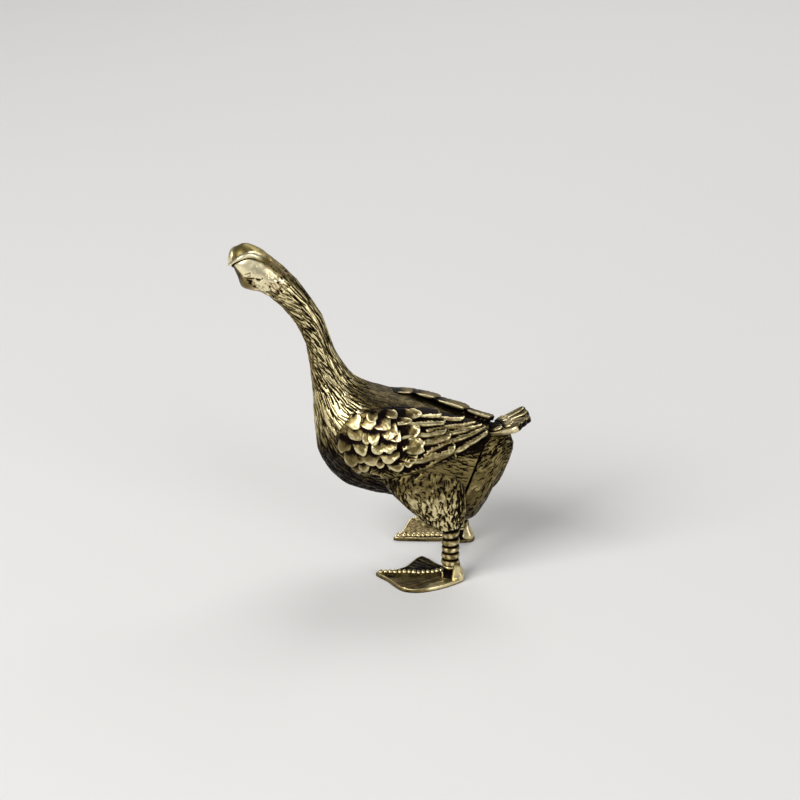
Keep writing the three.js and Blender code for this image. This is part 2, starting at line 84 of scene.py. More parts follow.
def along(line, place):
    """The smooth line's values at places counted in its points."""
    last = len(line) - 3
    place = np.clip(np.asarray(place, float), 0, last)
    first = np.minimum(np.floor(place).astype(int), last - 1)
    t = (place - first)[..., None]
    p0, p1, p2, p3 = (line[first + k] for k in range(4))
    pull, push = (p2 - p0) / 2, (p3 - p1) / 2
    cubic, square = 2 * p1 - 2 * p2 + pull + push, 3 * p2 - 3 * p1 - 2 * pull - push
    return cubic * t**3 + square * t**2 + pull * t + p1


def rings_through(rings):
    lifted = np.array(rings, float)
    lifted[:, [1, 3]] += HIP_HEIGHT
    return through(lifted)


def xyz(x, y, z):
    """Points from their coordinates, each an array or one value for all."""
    return np.stack(np.broadcast_arrays(x, y, z), -1)


def skin(outline, station, angle, out=0.0):
    """Points on a bird's skin: a station along its rings, an angle round from the back, how far outwards."""
    low_x, low_z, high_x, high_z, half, full = np.moveaxis(along(outline, station), -1, 0)
    up_x, up_z = (high_x - low_x) / 2, (high_z - low_z) / 2
    tall = np.hypot(up_x, up_z)
    rise = (tall + out) * np.cos(angle) / tall
    width = (half + out) * np.sin(angle) * (1 + full * np.cos(angle))
    return xyz(low_x + up_x + up_x * rise, width, low_z + up_z + up_z * rise)


def unit(vectors):
    return vectors / np.maximum(np.linalg.norm(vectors, axis=-1, keepdims=True), 1e-9)


def outward(grid):
    """Normals of a grid of points whose rows go round, pointing away from the rows' middles."""
    lengthwise = np.gradient(grid, axis=0)
    crosswise = np.roll(grid, -1, axis=1) - np.roll(grid, 1, axis=1)
    normals = unit(np.cross(lengthwise, crosswise))
    away = ((grid - grid.mean(1, keepdims=True)) * normals).sum(-1)
    return normals * np.sign(away.mean())


def raised(grid, relief):
    """The grid with each point moved outwards by its relief."""
    return grid + outward(grid) * relief[..., None]


def ripple(points, wavelength, seed, waves=14):
    """A smooth irregular field over points, about -1 to 1, with bumps of a given size in millimetres."""
    random = np.random.default_rng(seed)
    directions = unit(random.normal(size=(waves, 3))) * 2 * math.pi / wavelength
    directions *= random.uniform(0.6, 1.5, (waves, 1))
    phases = random.uniform(0, 2 * math.pi, waves)
    return np.clip(np.sin(points @ directions.T + phases).sum(-1) / math.sqrt(waves), -1.6, 1.6) / 1.2


def ease(value, start, end):
    """A soft step from 0 at the start to 1 at the end."""
    share = np.clip((value - start) / (end - start), 0, 1)
    return share * share * (3 - 2 * share)


def knob(points, place, radius):
    """A round swelling: 1 at its place, fading out over about a radius."""
    return np.exp(-((points - place) ** 2).sum(-1) / radius**2)


def once_round(count, start=0.0):
    """Angles spaced evenly over one turn."""
    return np.linspace(start, start + 2 * math.pi, count, endpoint=False)


def engraved(surface, stations, angles, strokes):
    """A surface's points on a grid, and how deep the strokes cut there. Each stroke is a station, an angle, a
    turn, a length, a width, a depth and a bow."""
    grid = surface(stations[:, None], angles[None, :])
    depth_map = np.zeros(grid.shape[:2])
    step = angles[1] - angles[0]
    probe = 0.02
    for station, angle, turn, length, width, depth, bow in strokes:
        centre = surface(station, angle)
        ahead = surface(station + probe, angle) - centre
        aside = surface(station, angle + probe) - centre
        reach = length / 2 + 2 * width
        window = reach / np.linalg.norm(ahead) * probe
        rows = np.arange(*np.searchsorted(stations, [station - window, station + window]))
        if not len(rows):
            continue
        spread = int(min(reach / np.linalg.norm(aside) * probe / step + 1, len(angles) / 3))
        columns = (round((angle - angles[0]) / step) + np.arange(-spread, spread + 1)) % len(angles)
        ahead, aside = unit(ahead), unit(aside - ahead * (aside @ ahead) / (ahead @ ahead))
        forward = math.cos(turn) * ahead + math.sin(turn) * aside
        sideways = math.cos(turn) * aside - math.sin(turn) * ahead
        place = np.ix_(rows, columns)
        offset = grid[place] - centre
        run = offset @ forward / (length / 2)
        off = (offset @ sideways - bow * (1 - run**2)) / (width * (0.55 + 0.45 * ease(run, -1, 0.4)))
        cut = depth * np.exp(-(off**2)) * ease(1.15 - np.abs(run), 0, 0.45)
        near = (offset**2).sum(-1) < (reach * 1.3) ** 2
        depth_map[place] = np.maximum(depth_map[place], cut * near)
    return grid, depth_map


def closed(rows, wear_and_painted_light):
    """A closed skin over rows of points that all go round the same way: its points, faces and wear."""
    count, around = rows.shape[:2]
    points = np.vstack([rows.reshape(-1, 3), rows[0].mean(0), rows[-1].mean(0)])
    here = np.arange(around)
    beside = (here + 1) % around
    base = np.arange(count - 1)[:, None] * around
    sides = np.stack([base + here, base + beside, base + beside + around, base + here + around], -1)
    sides = sides.reshape(-1, 4)
    first, last = count * around, (count - 1) * around
    caps = np.vstack([
        np.stack([np.full(around, first), beside, here], -1),
        np.stack([np.full(around, first + 1), last + here, last + beside], -1),
    ])
    triangles = np.vstack([sides[:, :3], sides[:, [0, 2, 3]], caps])
    a, b, c = (points[triangles[:, k]] for k in range(3))
    if (a * np.cross(b, c)).sum() < 0:
        sides, caps = sides[:, ::-1], caps[:, ::-1]
    wear_and_painted_light = np.clip(wear_and_painted_light, 0, 1)
    wear_and_painted_light = np.concatenate([wear_and_painted_light.reshape(-1), [wear_and_painted_light[0].mean(), wear_and_painted_light[-1].mean()]])
    return points, sides.tolist() + caps.tolist(), wear_and_painted_light


def linked(name, data):
    made = bpy.data.objects.new(name, data)
    bpy.context.collection.objects.link(made)
    return made


def cast_piece(node, skins, material, flat_caps=False):
    """One object from closed skins, with their wear as an attribute, that stands for a node of the frame."""
    points, faces, wear_and_painted_light, offset = [], [], [], 0
    for skin_points, skin_faces, skin_wear in skins:
        points.append(skin_points)
        faces += [[corner + offset for corner in face] for face in skin_faces]
        wear_and_painted_light.append(skin_wear)
        offset += len(skin_points)
    mesh = bpy.data.meshes.new(f"{node}_casting")
    mesh.from_pydata((np.vstack(points) * MM).tolist(), [], faces)
    mesh.polygons.foreach_set("use_smooth", [len(face) > 3 or not flat_caps for face in faces])
    mesh.attributes.new("wear_and_painted_light", "FLOAT", "POINT").data.foreach_set("value", np.concatenate(wear_and_painted_light))
    mesh.materials.append(material)
    mesh.validate()
    made = linked(f"{node}_casting", mesh)
    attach(made, "root")
    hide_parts(node)


def linear(hex_colour):
    """An sRGB hex colour as linear RGBA."""
    values = [int(hex_colour[k : k + 2], 16) / 255 for k in (1, 3, 5)]
    return [v / 12.92 if v <= 0.04045 else ((v + 0.055) / 1.055) ** 2.4 for v in values] + [1.0]


def add(tree, kind, inputs, **settings):
    """A node with its settings and inputs: an input is a value, or the output of another node."""
    node = tree.nodes.new(kind)
    for key, value in settings.items():
        setattr(node, key, value)
    for key, value in inputs.items():
        if isinstance(value, bpy.types.NodeSocket):
            tree.links.new(value, node.inputs[key])
        else:
            node.inputs[key].default_value = value
    return node


def noise(tree, place, waves_per_mm, detail):
    inputs = {"Vector": place, "Scale": waves_per_mm / MM, "Detail": detail}
    return add(tree, "ShaderNodeTexNoise", inputs).outputs["Fac"]


def calculate(tree, operation, *values, clamp=False):
    inputs = dict(enumerate(values))
    return add(tree, "ShaderNodeMath", inputs, operation=operation, use_clamp=clamp).outputs[0]


# How far a place has to be rubbed to show the recess's, the middle and the rubbed colour
WEAR_STOPS = (0.08, 0.45, 0.85)
DULL, POLISHED = 0.55, 0.33
COPPERY = "#C79A84"


def antique_brass(name, recess, middle, rubbed, pink=0.0, mottle=0.3):
    """Cast brass darkened in a bath, then rubbed back: black-brown in the cuts, olive on the flats, pale gold
    on what stands proud. Its attribute gives how far the wheel rubbed it back, and in places also painted
    shade and painted highlights that the pieces set in it."""
    material = bpy.data.materials.new(name)
    material.use_nodes = True
    tree = material.node_tree
    tree.nodes.clear()
    place = add(tree, "ShaderNodeTexCoord", {}).outputs["Object"]
    wear_and_painted_light = add(tree, "ShaderNodeAttribute", {}, attribute_name="wear_and_painted_light").outputs["Fac"]
    # Blotches and specks of the dark bath, about 0.9 mm and 0.2 mm across
    level = calculate(tree, "MULTIPLY_ADD", noise(tree, place, 1.1, 3.0), mottle, wear_and_painted_light)
    level = calculate(tree, "MULTIPLY_ADD", noise(tree, place, 5.0, 2.0), mottle, level)
    level = calculate(tree, "SUBTRACT", level, mottle, clamp=True)
    ramp = add(tree, "ShaderNodeValToRGB", {"Fac": level})
    ramp.color_ramp.interpolation = "EASE"
    ramp.color_ramp.elements.new(1.0)
    for element, position, colour in zip(ramp.color_ramp.elements, WEAR_STOPS, (recess, middle, rubbed)):
        element.position = position
        element.color = linear(colour)
    colour = ramp.outputs["Color"]
    if pink:
        # Where the acid took the zinc out, the brass shows coppery in spots, about 1.6 mm apart
        spots = {"Value": noise(tree, place, 0.62, 1.0), "From Min": 0.58, "From Max": 0.72, "To Max": pink}
        spots = add(tree, "ShaderNodeMapRange", spots).outputs["Result"]
        amount = calculate(tree, "MULTIPLY", spots, level)
        blend = {"Factor": amount, 6: colour, 7: linear(COPPERY)}
        colour = add(tree, "ShaderNodeMix", blend, data_type="RGBA").outputs[2]
    rough = {"Value": level, "To Min": DULL, "To Max": POLISHED}
    rough = add(tree, "ShaderNodeMapRange", rough).outputs["Result"]
    # The skin that the mould left, in grains of about 0.12 mm
    grain = {"Height": noise(tree, place, 8.0, 2.0), "Strength": 0.35, "Distance": 0.03 * MM}
    bump = add(tree, "ShaderNodeBump", grain).outputs["Normal"]
    surface = {"Base Color": colour, "Roughness": rough, "Metallic": 1.0, "Normal": bump}
    shader = add(tree, "ShaderNodeBsdfPrincipled", surface).outputs["BSDF"]
    add(tree, "ShaderNodeOutputMaterial", {"Surface": shader})
    return material


body_outline = rings_through(BODY_RINGS)


def body_skin(station, angle, out=0.0):
    return skin(body_outline, station, angle, out)


def on_body(side, station, degrees, out=0.0):
    """Points on one side of the body, by degrees round from the back."""
    return body_skin(station, side * np.radians(degrees), out)


# How each kind of stroke is cut: the share of its places that is cut, then length, width, depth and lean
STROKE_KINDS = [
    (0.6, 2.8, 0.075, 0.17, 3),  # nape
    (0.95, 1.25, 0.085, 0.21, 26),  # front of the neck
    (0.95, 2.3, 0.055, 0.05, 14),  # mantle
    (0.85, 0.95, 0.1, 0.22, -10),  # belly
    (0.75, 1.2, 0.065, 0.17, 0),  # flank
    (0.46, 2.0, 0.08, 0.24, 12),  # breast
]
STROKE_PITCH = 0.34
NECK_ROW_PITCH = 0.62
BODY_ROW_PITCH = 0.8


def plumage_strokes(seed, first, last):
    """The engraver's strokes over the neck and body, in staggered rows."""
    random = np.random.default_rng(seed)
    strokes = []
    station, row = first, 0
    around = np.linspace(0, 2 * math.pi, 73)
    while station < last:
        here = body_skin(station, around)
        girth = np.linalg.norm(np.diff(here, axis=0), axis=1).sum()
        pace = np.linalg.norm(body_skin(min(station + 0.1, 16), around) - here, axis=1).mean() * 10
        on_neck = 1 - ease(station, 5.2, 6.8)
        count = int(girth / STROKE_PITCH)
        for k in range(count):
            angle = 2 * math.pi * (k + 0.5 * (row % 2) + random.uniform(-0.25, 0.25)) / count
            angle = (angle + math.pi) % (2 * math.pi) - math.pi
            round_from_back = math.degrees(abs(angle))
            mantle = ease(station, 6.0, 7.4) * (1 - ease(round_from_back, 34, 58))
            belly = ease(station, 7.5, 9.0) * ease(round_from_back, 112, 135)
            flank = ease(station, 10.5, 12) * (1 - mantle) * (1 - belly)
            nape = on_neck * (1 - ease(round_from_back, 50, 80))
            front = on_neck - nape
            breast = max((1 - on_neck) * (1 - mantle) * (1 - belly) * (1 - flank), 0)
            kinds = np.array([nape, front, mantle, belly, flank, breast])
            share, length, width, depth, lean = kinds @ STROKE_KINDS
            # towards the wing the breast's strokes turn level
            lean += 34 * breast * ease(station, 7.0, 8.3) * (1 - ease(round_from_back, 70, 100))
            if random.uniform() > share:
                continue
            turn = -math.copysign(math.radians(lean + random.uniform(-9, 9)), angle)
            depth *= random.uniform(0.3, 1.2) * (1 - 0.4 * front * (1 - ease(station, 0.3, 1.8)))
            length *= random.uniform(0.6, 1.4)
            bow = random.uniform(-0.08, 0.08) * length
            place = max(station + random.uniform(-0.3, 0.3) / pace, 0.02)
            strokes.append((place, angle, turn, length, width * random.uniform(0.75, 1.3), depth, bow))
        station += (NECK_ROW_PITCH * on_neck + BODY_ROW_PITCH * (1 - on_neck)) / pace
        row += 1
    return strokes


def rubbing_and_shade(stations, angles):
    """How bright the neck and body are left: the wheel reached less of the mantle, which also has a painted
    dark reflection; painted shade darkens the belly, the lower side and the rear, and patina and painted
    shade the strip beside the wings.
    """
    round_from_back = np.degrees(np.abs((angles + math.pi) % (2 * math.pi) - math.pi))[None, :]
    stations = stations[:, None]
    on_neck = 1 - ease(stations, 5.4, 7.0)
    mantle = ease(stations, 5.7, 7.2) * (1 - ease(round_from_back, 36, 58))
    belly = ease(stations, 7.6, 9.4) * ease(round_from_back, 95, 128)
    front = ease(round_from_back, 85, 125) * (1 - belly)
    crown = (1 - ease(stations, 0.0, 2.2)) * (1 - ease(round_from_back, 30, 60))
    patina_and_shade_beside_wing = ease(stations, 8.3, 10.0) * ease(round_from_back, 10, 24)
    rear = ease(stations, 11.0, 13.0) * (1 - belly) * (1 - mantle)
    # painted shade on the belly, the lower side and the rear; patina and a painted dark reflection on the
    # mantle
    worn_and_shaded = 1.0 - 0.74 * mantle - 0.85 * belly - 0.54 * rear - 0.16 * mantle * patina_and_shade_beside_wing - 0.34 * crown
    return worn_and_shaded - (0.33 * on_neck + 0.27 * (1 - on_neck)) * front


body_strokes = plumage_strokes(7, 0.05, FLANK_SEAM)


def plumed(first, last, grid_size):
    """The plumed skin between two stations: its raised grid and its wear."""
    stations = np.linspace(first, last, grid_size[0])
    angles = once_round(grid_size[1], -math.pi)
    grid, cuts = engraved(body_skin, stations, angles, body_strokes)
    relief = (0.03 * ripple(grid, 2.4, 3) - cuts) * ease(stations, 0.0, 0.12)[:, None]
    worn_and_shaded = rubbing_and_shade(stations, angles) * (1 - np.clip(cuts / 0.12, 0, 1)) ** 1.2
    if last == FLANK_SEAM:
        # the dark edge that was left when the rump was fitted, and a burr under the breast
        relief -= 0.3 * ease(stations, FLANK_SEAM - 0.06, FLANK_SEAM)[:, None] ** 2
        relief += 0.3 * knob(grid, (-5.7, 0, 10.95), 0.3)
        worn_and_shaded *= 1 - 0.9 * ease(stations, FLANK_SEAM - 0.08, FLANK_SEAM - 0.01)[:, None]
    return raised(grid, relief), worn_and_shaded


# The plumage's brass: rubbed pale on the neck and breast, black in the strokes
body_brass = antique_brass("antique_brass_plumage", "#130C09", "#786A42", "#E2D3A2")
for node, first, last, grid_size in (
    ("neck", 0, NECK_SEAM, NECK_GRID),
    ("body", NECK_SEAM, FLANK_SEAM, BODY_GRID),
):
    cast_piece(node, [closed(*plumed(first, last, grid_size))], body_brass, flat_caps=True)

# Head. A brass casting brazed on the neck's peg: cheeks, lower bill and chin in one. The crown lies in a seat
# cut along the mouth, and the cheeks are rubbed nearly smooth, with pits and a few cuts left dark.
HEAD_RINGS = [
    BODY_RINGS[0],
    (-16.4, 31.7, -12.9, 34.9, 2.2, 0),
    (-17.7, 31.9, -14.4, 36.2, 2.35, 0),
    (-18.8, 32.2, -15.9, 37.2, 2.4, 0),
    (-19.4, 32.9, -17.4, 37.9, 2.25, 0),
    (-19.7, 33.8, -18.8, 38.2, 1.95, 0),
    (-20.1, 34.8, -20.0, 37.8, 1.4, 0),
]
HEAD_TIP = (-20.8, 0, HIP_HEIGHT + 36.3)
MOUTH_LINE = [
    (-21.8, 34.9),
    (-20.4, 35.5),
    (-19.2, 36.5),
    (-17.6, 37.1),
    (-15.9, 36.7),
    (-14.6, 36.0),
    (-13.4, 35.5),
]
HEAD_GRID = (120, 150)
CHEEK_PITS = 110
BACK_STROKES = 300
EYE = (1.15, 68)
head_outline = rings_through(HEAD_RINGS)
mouth = along(through(MOUTH_LINE, "held"), np.linspace(0, len(MOUTH_LINE) - 1, 200))


def capped(outline, tip, station, angle, out=0.0):
    """Like skin, but past the last ring the surface rounds over to the tip within one more station."""
    last = len(outline) - 3
    station = np.asarray(station, float)
    turn = np.clip(station - last, 0, 1) * math.pi / 2
    ring = skin(outline, np.minimum(station, last), angle, out)
    centre = (skin(outline, last, 0.0) + skin(outline, last, math.pi)) / 2
    reach = np.array(tip) - centre
    reach = reach * (1 + np.asarray(out, float)[..., None] / np.linalg.norm(reach))
    over = centre + (ring - centre) * np.cos(turn)[..., None] + reach * np.sin(turn)[..., None]
    return np.where((station > last)[..., None], over, ring)


def head_skin(station, angle, out=0.0):
    return capped(head_outline, HEAD_TIP, station, angle, out)


def bell(value, middle, width):
    return np.exp(-(((value - middle) / width) ** 2))


def above_mouth(points):
    return points[..., 2] - HIP_HEIGHT - np.interp(points[..., 0], mouth[:, 0], mouth[:, 1])


# Cuts left on the near cheek and repeated on the far one: station, degrees round, turn, length, width, depth
CHEEK_CUTS = [
    (3.35, 89, 128, 1.0, 0.08, 0.1),
    (3.1, 92, 122, 0.7, 0.07, 0.08),
    (2.95, 97, 150, 1.5, 0.09, 0.12),
    (2.2, 89, 170, 0.8, 0.12, 0.14),
    (2.85, 104, 165, 0.9, 0.11, 0.12),
    (0.79, 66, 20, 0.35, 0.15, 0.14),
    (1.0, 95, 80, 0.4, 0.14, 0.12),
    (0.25, 92, 10, 0.5, 0.13, 0.14),
    (0.1, 84, 10, 0.5, 0.13, 0.14),
    (1.96, 82, 90, 0.35, 0.1, 0.1),
    (0.89, 45, 30, 0.5, 0.1, 0.09),
    (1.99, 119, 20, 0.6, 0.12, 0.1),
    (2.6, 112, 30, 0.5, 0.12, 0.1),
    (1.47, 92, 60, 0.25, 0.1, 0.08),
    (0.3, 110, 10, 0.9, 0.12, 0.12),
    (0.6, 122, 5, 0.9, 0.12, 0.12),
    (0.35, 60, 0, 0.7, 0.1, 0.08),
]
stations = np.linspace(0, 6.95, HEAD_GRID[0])
angles = once_round(HEAD_GRID[1], -math.pi)
random = np.random.default_rng(19)
marks = [
    (station, side * math.radians(angle), -side * math.radians(turn), length, 1.5 * width, depth, 0.05)
    for station, angle, turn, length, width, depth in CHEEK_CUTS
    for side in (LEFT, RIGHT)
]
for _ in range(CHEEK_PITS):
    angle = random.uniform(-math.pi, math.pi)
    station, turn, length = random.uniform(0, 3.2), random.uniform(-0.4, 0.4), random.uniform(0.12, 0.35)
    marks.append((station, angle, turn, length, random.uniform(0.06, 0.1), random.uniform(0.03, 0.09), 0))
# The neck's strokes thin out over the back of the head
for _ in range(BACK_STROKES):
    station, angle = 0.05 + 2.1 * random.uniform(0, 1) ** 3.0, random.uniform(-math.pi, math.pi)
    front = ease(math.degrees(abs(angle)), 60, 100)
    depth = random.uniform(0.05, 0.17) * (1 - station / 2.4) * (0.6 + 0.4 * front)
    turn = -math.copysign((0.1 + 0.3 * front) * random.uniform(0.4, 1.6), angle)
    marks.append((station, angle, turn, random.uniform(0.5, 1.3), random.uniform(0.08, 0.12), depth, 0.04))
grid, cuts = engraved(head_skin, stations, angles, marks)
round_from_back = np.degrees(np.abs(angles))[None, :]
stations = stations[:, None]
over_mouth = above_mouth(grid)
opens = ease(stations, 2.2, 2.9)
seat = ease(over_mouth, -0.1, 0.12) * opens
mouth_crack_and_shadow = bell(over_mouth, -0.1, 0.11) * opens
crown = 1 - ease(round_from_back, 34, 62)
front = ease(stations, 3.3, 4.3) * ease(round_from_back, 98, 112)
chin_in_shade = ease(stations, 1.5, 2.7) * ease(round_from_back, 91, 118)
eyes = sum(knob(grid, head_skin(EYE[0], side * math.radians(EYE[1])), 0.3) for side in (LEFT, RIGHT))
relief = 0.03 * ripple(grid, 1.7, 5) - cuts - 0.14 * mouth_crack_and_shadow - 0.16 * front + 0.09 * eyes
relief = relief * ease(stations, 0.0, 0.12) - 0.42 * seat
# painted shade: the seat and the crack under the bill's lip, the front face of the lower bill, the chin and
# the underside are darkened; the crown is darker too, and cuts and blotches hold patina
wear_and_painted_light = 1.0 - 0.85 * seat - 1.1 * mouth_crack_and_shadow - 0.82 * front - 8.0 * cuts - 0.68 * chin_in_shade * (1 - front)
wear_and_painted_light -= 0.3 * ease(round_from_back, 118, 150) * (1 - chin_in_shade) + (0.34 + 0.16 * ease(stations, 0, 1.5)) * crown
wear_and_painted_light -= 0.3 * ease(ripple(grid, 0.8, 29), 0.5, 1.1) * ease(stations, 3.0, 1.2)
# The cheeks' brass: rubbed nearly white, with dark pits and coppery spots
cheek_brass = antique_brass(
    "antique_brass_rubbed_smooth", "#140D09", "#8A7B4E", "#F4E8C0", pink=0.5, mottle=0.26
)
cast_piece("head", [closed(raised(grid, relief), wear_and_painted_light)], cheek_brass, flat_caps=True)

# Crown and upper bill. One thin brass casting that caps the head and is pinned to it, with a rounded lip
# along the mouth and a nail at the front, both rubbed bright and given a painted highlight.
BILL_OVERHANG = 0.22
LIP_HEIGHT = 0.24
BILL_STATIONS = (0.75, 6.97)
BILL_GRID = (130, 90)
UNDER_POINTS = 16
# Angles tried on each ring for the mouth's edge, and the half angle below which a ring is left out
MOUTH_TRIES = 400
NARROWEST = 0.12


def rounded(inland, radius):
    """A rounded edge: 0 at the edge, 1 a radius inside it."""
    return np.sqrt(1 - (1 - np.clip(inland / radius, 0, 1)) ** 2)


spread = np.linspace(0, math.pi, MOUTH_TRIES)
share = np.sin(np.linspace(-1, 1, BILL_GRID[1]) * math.pi / 2)
rows, wear_and_highlight_rows = [], []
for station in np.linspace(*BILL_STATIONS, BILL_GRID[0]):
    ring = head_skin(np.full(MOUTH_TRIES, station), spread, BILL_OVERHANG)
    below = np.nonzero(above_mouth(ring) < 0)[0]
    widest = spread[below[0]] if len(below) else math.pi
    if widest < NARROWEST:
        continue
    angle = share * widest
    place = np.full(BILL_GRID[1], station)
    bare = head_skin(place, angle, 0.0)
    radius = np.linalg.norm(bare - bare.mean(0), axis=1).mean()
    inland = (widest - np.abs(angle)) * radius if widest < math.pi else np.full(BILL_GRID[1], 2.0)
    lip = bell(inland, 0.26, 0.2) * ease(station, 2.2, 4.6)
    nail = bell(station, 6.4, 0.35)
    out = BILL_OVERHANG * rounded(inland, 0.24) * ease(station, 2.2, 4.4) + LIP_HEIGHT * lip
    out = out - 0.4 * ease(station, 2.25, 1.7) - 0.16 * ease(station, 4.6, 6.3)
    top = head_skin(place, angle, out)
    under = head_skin(np.full(UNDER_POINTS, station), np.linspace(widest, -widest, UNDER_POINTS), 0.0)
    centre = top.mean(0)
    rows.append(np.vstack([top, centre + (under - centre) * 0.8]))
    # the lip and the nail are rubbed bright and carry a painted highlight
    wear_and_highlight_rows.append(np.concatenate([0.46 + 0.65 * lip + 0.5 * nail, np.zeros(UNDER_POINTS)]))
bill_rows = np.array(rows)
outside = bill_rows[:, : BILL_GRID[1]]
for height, wavelength, seed in ((0.018, 0.9, 8), (0.006, 0.4, 9)):
    outside += height * ripple(outside, wavelength, seed)[..., None]
# The bill's brass: the smoothest, with little mottling
bill_brass = antique_brass("antique_brass_rubbed_bill", "#140D09", "#7F7042", "#F4E9C2", mottle=0.24)
cast_piece("upper_bill", [closed(bill_rows, np.array(wear_and_highlight_rows))], bill_brass)

# Rump. A brass casting pegged and brazed into the body behind the flanks, where a dark straight groove is
# left between the two. Short curved cuts run down it to the vent.
RUMP_RINGS = [
    (10.7, -0.5, 15.3, 13.2, 4.6, 0.15),
    (12.6, -1.0, 16.7, 13.1, 4.2, 0.15),
    (14.3, 0.8, 17.9, 12.6, 3.3, 0.15),
    (15.9, 4.1, 18.5, 11.3, 1.9, 0.1),
]
RUMP_TIP = (17.8, 0, HIP_HEIGHT + 7.7)
RUMP_GRID = (170, 320)
rump_outline = rings_through(RUMP_RINGS)


def rump_skin(station, angle, out=0.0):
    return capped(rump_outline, RUMP_TIP, station, angle, out)


stations = np.linspace(0, 3.95, RUMP_GRID[0])
angles = once_round(RUMP_GRID[1], -math.pi)
random = np.random.default_rng(23)
marks = []
for row, station in enumerate(np.arange(0.15, 3.6, 0.2)):
    for angle in np.arange(-math.pi, math.pi, 0.085) + 0.042 * (row % 2):
        lean = -math.copysign(math.radians(38 + random.uniform(-16, 16)), angle)
        if random.uniform() < 0.5:
            continue
        place, angle = station + random.uniform(-0.1, 0.1), angle + random.uniform(-0.03, 0.03)
        length, width = random.uniform(0.5, 1.3), random.uniform(0.05, 0.11)
        depth, bow = random.uniform(0.04, 0.22), random.uniform(-0.08, 0.08)
        marks.append((place, angle, lean, length, width, depth, bow))
grid, cuts = engraved(rump_skin, stations, angles, marks)
relief = 0.03 * ripple(grid, 2.0, 9) - cuts
# painted shade on the rump's lower side
wear_and_painted_light = (0.54 - 0.24 * ease(np.degrees(np.abs(angles)), 90, 130)) * (1 - np.clip(cuts / 0.09, 0, 1))
wear_and_painted_light = np.clip(wear_and_painted_light + 0.1 * ripple(grid, 1.7, 14), 0, 1) * (0.25 + 0.75 * ease(stations, 0.0, 0.12))[:, None]
# The rump's brass: dark all over, because the wheel hardly reached it, and darker still as painted shade on
# this rear-facing part
dark_and_shaded_brass = antique_brass("antique_brass_dark_and_shaded", "#120B08", "#6C5F3A", "#C0B07C", mottle=0.34)
cast_piece("rump", [closed(raised(grid, relief), wear_and_painted_light)], dark_and_shaded_brass, flat_caps=True)

# Tail. One brass casting with a tang in the rump: five stout feathers fanned out, rimmed and veined, with
# short covert feathers over their roots.
TAIL_LENGTHS = [4.95, 5.3, 5.6, 5.4, 5.1]
TAIL_SPREAD = 42
TAIL_PITCH = math.radians(14)
TAIL_CUP = math.radians(6)
TAIL_WIDTH = 1.9
TAIL_THICKNESS = 0.72
TAIL_ROOT_PITCH = 0.55
TAIL_STEP = 0.22
TAIL_INSET = 0.6
TAIL_HEIGHT = HIP_HEIGHT + 13.17
TAIL_X = 16.15
TAIL_COVERTS = 11


def vane(
    length, width, lift, base, depth,
    rim=0.05, veins=0.035, barb=0.34, dome=0.4, root=0.6, blunt=1.1, shaft=0, shine=1.0,
):
    """A feather lying along x from its root to its round tip: its rows of points and their wear, darker
    towards the root. First come its size, how high its tip rises and where top and underside lie, then the
    form of its top and how far it is rubbed."""
    lengthwise = max(14, int(length / 0.1))
    crosswise = max(11, int(width / 0.1) | 1)
    a = (1 - (1 - np.linspace(0.0, 0.985, lengthwise)) ** 1.5)[:, None]
    c = np.sin(np.linspace(-1, 1, crosswise) * math.pi / 2)[None, :]
    round_from = 1 - min(0.85, width / 2 / length * blunt)
    u = np.clip((a - round_from) / (1 - round_from), 0, 1)
    half = width / 2 * (root + (1 - root) * ease(a, 0, 0.5))
    y = c * half * np.sqrt(1 - u**2)
    q = np.sqrt(c**2 * (1 - u**2) + u**2)
    inland = half * (1 - q)
    edge = bell(inland, 0.17, 0.1) * ease(a, 0.15, 0.5)
    barbs = 0.5 + 0.5 * np.cos(2 * math.pi * (a * length * 0.75 - np.abs(y)) / barb)
    barbs = barbs * ease(inland, 0.1, 0.3)
    quill = bell(y, 0, 0.09) * (1 - u) * shaft
    top = lift * (0.3 + 0.7 * a) * (1 - dome * q**2) + rim * edge - 0.16 * (1 - rounded(inland, 0.16))
    top = top - veins * barbs + 0.05 * quill
    x = np.broadcast_to(a * length, y.shape)
    under_y = y[:, ::-1][:, :: max(1, crosswise // 5)]
    rows_x = np.hstack([x, x[:, : under_y.shape[1]]])
    rows_z = np.hstack([base + top, np.full(under_y.shape, base - depth)])
    # dark towards the root: patina with painted shade under what overlaps it
    bright = np.maximum(ease(a, 0.08, 0.5), 0.9 * edge * ease(a, 0.4, 0.8))
    bright = bright * (1 - 0.45 * barbs) * ease(inland, -0.02, 0.08)
    return rows_x, np.hstack([y, under_y]), rows_z, np.hstack([bright, np.zeros(under_y.shape)]) * shine


def tail_place(x, y, z, turn, sideways, down, outwards):
    """From a tail feather's own axes to the part's."""
    pitch = TAIL_PITCH + TAIL_CUP * outwards
    along_x = x * math.cos(turn) - y * math.sin(turn)
    across = x * math.sin(turn) + y * math.cos(turn) + sideways
    up = z - down - 0.02 * across**2
    back = TAIL_X - TAIL_INSET + along_x * math.cos(pitch) - up * math.sin(pitch)
    return xyz(back, across, TAIL_HEIGHT + along_x * math.sin(pitch) + up * math.cos(pitch))


